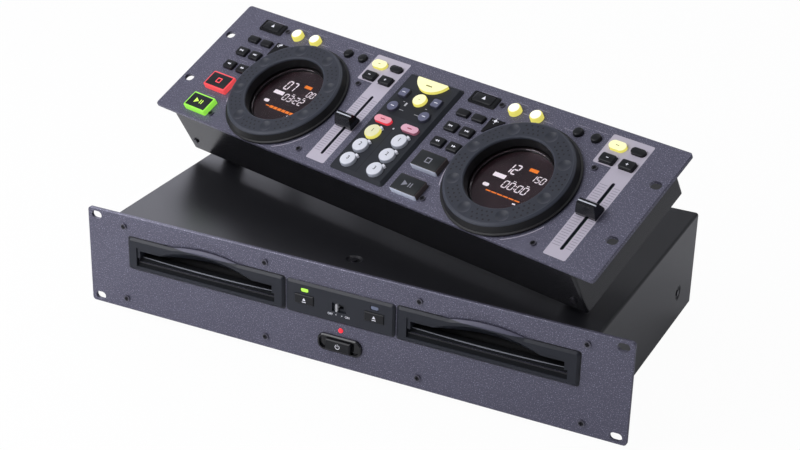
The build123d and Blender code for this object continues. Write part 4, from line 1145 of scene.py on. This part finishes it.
def makeCornerMarks():
    group = bmesh.new()
    mark = cornerMark
    level = mark["level"]
    for deck, middle in decks.items():
        u = middle + mark["place"][0]
        v = mark["place"][1]
        if deck == "a":
            addTo(group, drawOutline("oval", *mark["oval"]), u, v, level, 0, mark["ovalTurn"])
            x, y = mark["ringPlace"]
            addTo(group, drawRing(*mark["ring"]), u + x, v + y, level, 0)
        else:
            v -= mark["drop"]
            addTo(group, drawBar(mark["diamond"], mark["diamond"]), u, v, level, 0, 45)
            for turn in (0, 90, 180, 270):
                reach = Matrix.Rotation(radians(turn), 3, "Z") @ Vector((mark["pointerReach"], 0, 0))
                addTo(group, drawPointer(mark["pointer"], turn), u + reach.x, v + reach.y, level, 0)
    finishPiece(group, "marks_corner", "controller", ["inkWhite"], smooth=False)


consoleLook = {
    "plastic": ((0.022, 0.025, 0.032), (0.016, 0.018, 0.024), 0.44, 0.4, 0.12),
    # darker well round the keys of the upper half
    "well": (-23.0, 23.0, 5.5, 36.0),
    "wellCorner": 8.0,
    "wellColour": (0.010, 0.011, 0.014),
    "wellShare": 0.55,
    "groove": (-0.95, -0.45, -57.0, -8.5),
    "grooveColour": (0.004, 0.004, 0.005),
    "grooveShare": 0.9,
    "links": ((-9.4, -7.6, 17.6, 21.2), (-13.2, -11.0, 21.4, 21.8), (11.0, 13.2, 21.4, 21.8),
              (-10.6, -6.0, 12.7, 13.1), (6.0, 10.6, 12.7, 13.1), (-8.4, -5.4, -2.8, -2.4),
              (3.8, 5.6, -2.8, -2.4)),
    "dotPlace": (-0.7, -6.6),
    "dotRadius": 0.9,
    "ink": (0.62, 0.62, 0.66),
    "inkShare": 0.8,
}


def printConsole():
    look = consoleLook
    shader = makePlain("consolePlastic", *look["plastic"])
    u, v, w = shader.split(shader.here(controlSpace @ Matrix.Translation((consoleMiddle, 0, 0))))
    top = w > keyLevels["console"] - 0.15
    groove = insideBox(u, v, look["groove"])
    links = insideBoxes(u, v, look["links"])
    dot = distance(u - look["dotPlace"][0], v - look["dotPlace"][1]) < look["dotRadius"]
    well = insideBox(u, v, look["well"], look["wellCorner"])
    colour = shader.mix(well * top * look["wellShare"], shader.baseColour(), look["wellColour"])
    colour = shader.mix(groove * top * look["grooveShare"], colour, look["grooveColour"])
    colour = shader.mix(links.most(dot) * top * look["inkShare"], colour, look["ink"])
    shader.set(Base_Color=colour)
    paintNode("centre_console", shader)


knobLook = {
    "plastic": ((0.010, 0.011, 0.013), (0.006, 0.006, 0.008), 0.18, 0.5, 0.03),
    "coat": 0.5,
    "coatRough": 0.08,
    # white line along the ridge of each knob
    "ridge": {"a": -15.55, "b": -13.15},
    "ridgeLevel": 10.6,
    "line": 0.55,
    "lineColour": (0.62, 0.64, 0.70),
}


def paintKnobs():
    for deck in decks:
        shader = makePlain("knobBlack_" + deck, *knobLook["plastic"],
                           Coat_Weight=knobLook["coat"], Coat_Roughness=knobLook["coatRough"])
        u, v, w = shader.split(shader.here(controlSpace))
        line = (abs(v - knobLook["ridge"][deck]) < knobLook["line"]) * (w > knobLook["ridgeLevel"])
        shader.set(Base_Color=shader.mix(line, shader.baseColour(), knobLook["lineColour"]))
        paintNode("tempo_knob_" + deck, shader)


screwLook = {
    "slot": 0.42,
    "reach": 1.75,
    "rimRadius": (2.05, 2.9),
    "level": 0.2,
    "black": (0.060, 0.058, 0.070),
    "dark": (0.034, 0.033, 0.040),
    # the rim colour is a painted highlight on each head's rim, the recess colour painted shade in its crossed
    # slots
    "rim": (0.16, 0.155, 0.19),
    "recess": (0.001, 0.001, 0.001),
    "metal": 0.75,
    "rough": 0.26,
    # on the controller's panel, from the middle of each deck, and on the player's face
    "deckPlaces": ((-54.0, 51.0), (-53.5, -55.5), (56.0, 24.5), (56.0, -55.5)),
    "facePlaces": [(x, y) for y in (10.0, 77.6) for x in (-205.2, -68.8, 68.8, 205.2)],
}


def crossRecess(u, v, places):
    # the crossed slots of the screws at these places, and the rims of their heads, which take a painted
    # highlight
    crosses = None
    rimHighlights = None
    inner, outer = screwLook["rimRadius"]
    for x, y in places:
        across = abs(u - x)
        along = abs(v - y)
        cross = (across.least(along) < screwLook["slot"]) * (across.most(along) < screwLook["reach"])
        radius = distance(across, along)
        rim = (radius > inner) * (radius < outer)
        crosses = cross if crosses is None else crosses.most(cross)
        rimHighlights = rim if rimHighlights is None else rimHighlights.most(rim)
    return crosses, rimHighlights


def paintScrews():
    deckPlaces = [(middle + x, y) for middle in decks.values() for x, y in screwLook["deckPlaces"]]
    for name, space, places in (("player_screws", faceSpace, screwLook["facePlaces"]),
                                ("control_screws", controlSpace, deckPlaces)):
        shader = Shader(name, Metallic=screwLook["metal"])
        u, v, w = shader.split(shader.here(space))
        crosses, rimHighlights = crossRecess(u, v, places)
        recess = crosses * (w > screwLook["level"])
        cloud = shader.noise(shader.here(), 1.5)
        colour = shader.mix(cloud, screwLook["dark"], screwLook["black"])
        # the rims take a painted highlight, and the crossed slots painted shade
        colour = shader.mix(rimHighlights, colour, screwLook["rim"])
        shader.set(Base_Color=shader.mix(recess * 0.95, colour, screwLook["recess"]))
        shader.set(Roughness=screwLook["rough"] + 0.12 * cloud)
        shader.bump(cloud * 0.15 - recess, 0.9, 0.5)
        paintNode(name, shader)


bezelLook = {
    "middle": 125.5,
    "plasticSpecular": 0.25,
    # ramp behind the finger scoop, which is painted below this level with painted shade
    "ramp": (-66.5, 66.5, 45.0, 62.0),
    "rampLevel": 2.3,
    "rampShade": (0.005, 0.006, 0.008),
    "rampRough": 0.55,
    # painted highlight: a pale line along the lip, which sags towards its middle
    "lip": 52.2,
    "sag": 1.2,
    "halfThroat": 63.5,
    "lipLine": 0.26,
    "lipLevels": (-3.0, 2.2),
    "lipHighlight": (0.30, 0.31, 0.35),
    # the arch over the frame has the panel's colour
    "archFoot": 69.7,
    "archShare": 0.9,
    # painted shade: the gap round each slot's frame is painted dark
    "gap": (-75.9, 75.9, 39.85, 70.15),
    "gapCorner": 2.6,
    "gapShade": (0.006, 0.006, 0.008),
}


def printFace():
    shader = finishes["facePaint"]
    u, v, w = shader.split(shader.here(faceSpace))
    x = abs(u) - bezelLook["middle"]
    # painted shade in the gap round each slot's frame
    gap = insideBox(x, v, bezelLook["gap"], bezelLook["gapCorner"]) * (w > -0.3)
    colour = shader.mix(gap, shader.baseColour(), bezelLook["gapShade"])
    shader.set(Base_Color=colour, Metallic=panelPaint["metal"] * (1.0 - gap))


def paintSlotBezels():
    shader = makePlain("slotPlastic", *plain["bezelPlastic"][:5])
    u, v, w = shader.split(shader.here(faceSpace))
    x = abs(u) - bezelLook["middle"]
    arch = (v > bezelLook["archFoot"]) * bezelLook["archShare"]
    colour = shader.mix(arch, shader.baseColour(), panelPaint["base"])
    across = x / bezelLook["halfThroat"]
    lip = bezelLook["lip"] - bezelLook["sag"] * (1.0 - across * across)
    # the ramp below the lip is painted dark as painted shade, and made rougher
    ramp = insideBox(x, v, bezelLook["ramp"]) * (w < bezelLook["rampLevel"]) * (v < lip + 0.1)
    colour = shader.mix(ramp, colour, bezelLook["rampShade"])
    low, high = bezelLook["lipLevels"]
    # the pale line along the lip is a painted highlight
    line = (abs(v - lip) < bezelLook["lipLine"]) * (abs(x) < bezelLook["halfThroat"]) * (w > low) * (w < high)
    shader.set(Base_Color=shader.mix(line, colour, bezelLook["lipHighlight"]),
               Roughness=0.36 + bezelLook["rampRough"] * ramp,
               Specular_IOR_Level=bezelLook["plasticSpecular"])
    for deck in decks:
        paintNode("slot_bezel_" + deck, shader)


socketLook = {
    "metal": ((0.34, 0.34, 0.35), (0.24, 0.24, 0.25), 0.34, 0.5, 0.05),
    "metalShare": 0.9,
    "plate": (0.012, 0.012, 0.014),
    "plateBack": 240.8,
    "columns": (-158.0, -142.0),
    "innerRadius": 2.9,
    # colour inside each row of output sockets, by its height
    "rows": ((32.0, (0.55, 0.02, 0.02)), (50.0, (0.62, 0.62, 0.60))),
}


def paintSockets():
    shader = makePlain("socketMetal", *socketLook["metal"], Metallic=socketLook["metalShare"])
    x, y, z = shader.split(shader.here(playerSpace))
    colour = shader.mix(y < socketLook["plateBack"], shader.baseColour(), socketLook["plate"])
    for row, tint in socketLook["rows"]:
        for column in socketLook["columns"]:
            inner = distance(x - column, z - row) < socketLook["innerRadius"]
            colour = shader.mix(inner * (y > socketLook["plateBack"]), colour, tint)
    shader.set(Base_Color=colour)
    paintNode("rear_sockets", shader)


scene = bpy.context.scene
scene.view_settings.view_transform = "Standard"
makeCamera()
makeLight()
makeStage()
paintNodes()
print("camera, floor, light and node finishes made")
makeKeyFinishes()
makeDisplayFinish()
makeKeys()
makeBigButtons()
makeDisplays()
paintWindows()
for deckName in decks:
    makeJogFinish(deckName)
printDeck()
print("keys, displays, dials and prints made")
makePlayerMarks()
makeLamps()
makeCornerMarks()
printConsole()
printFace()
paintSlotBezels()
paintKnobs()
paintScrews()
paintSockets()
print("marks, lamps, console, knobs, screws and sockets made")
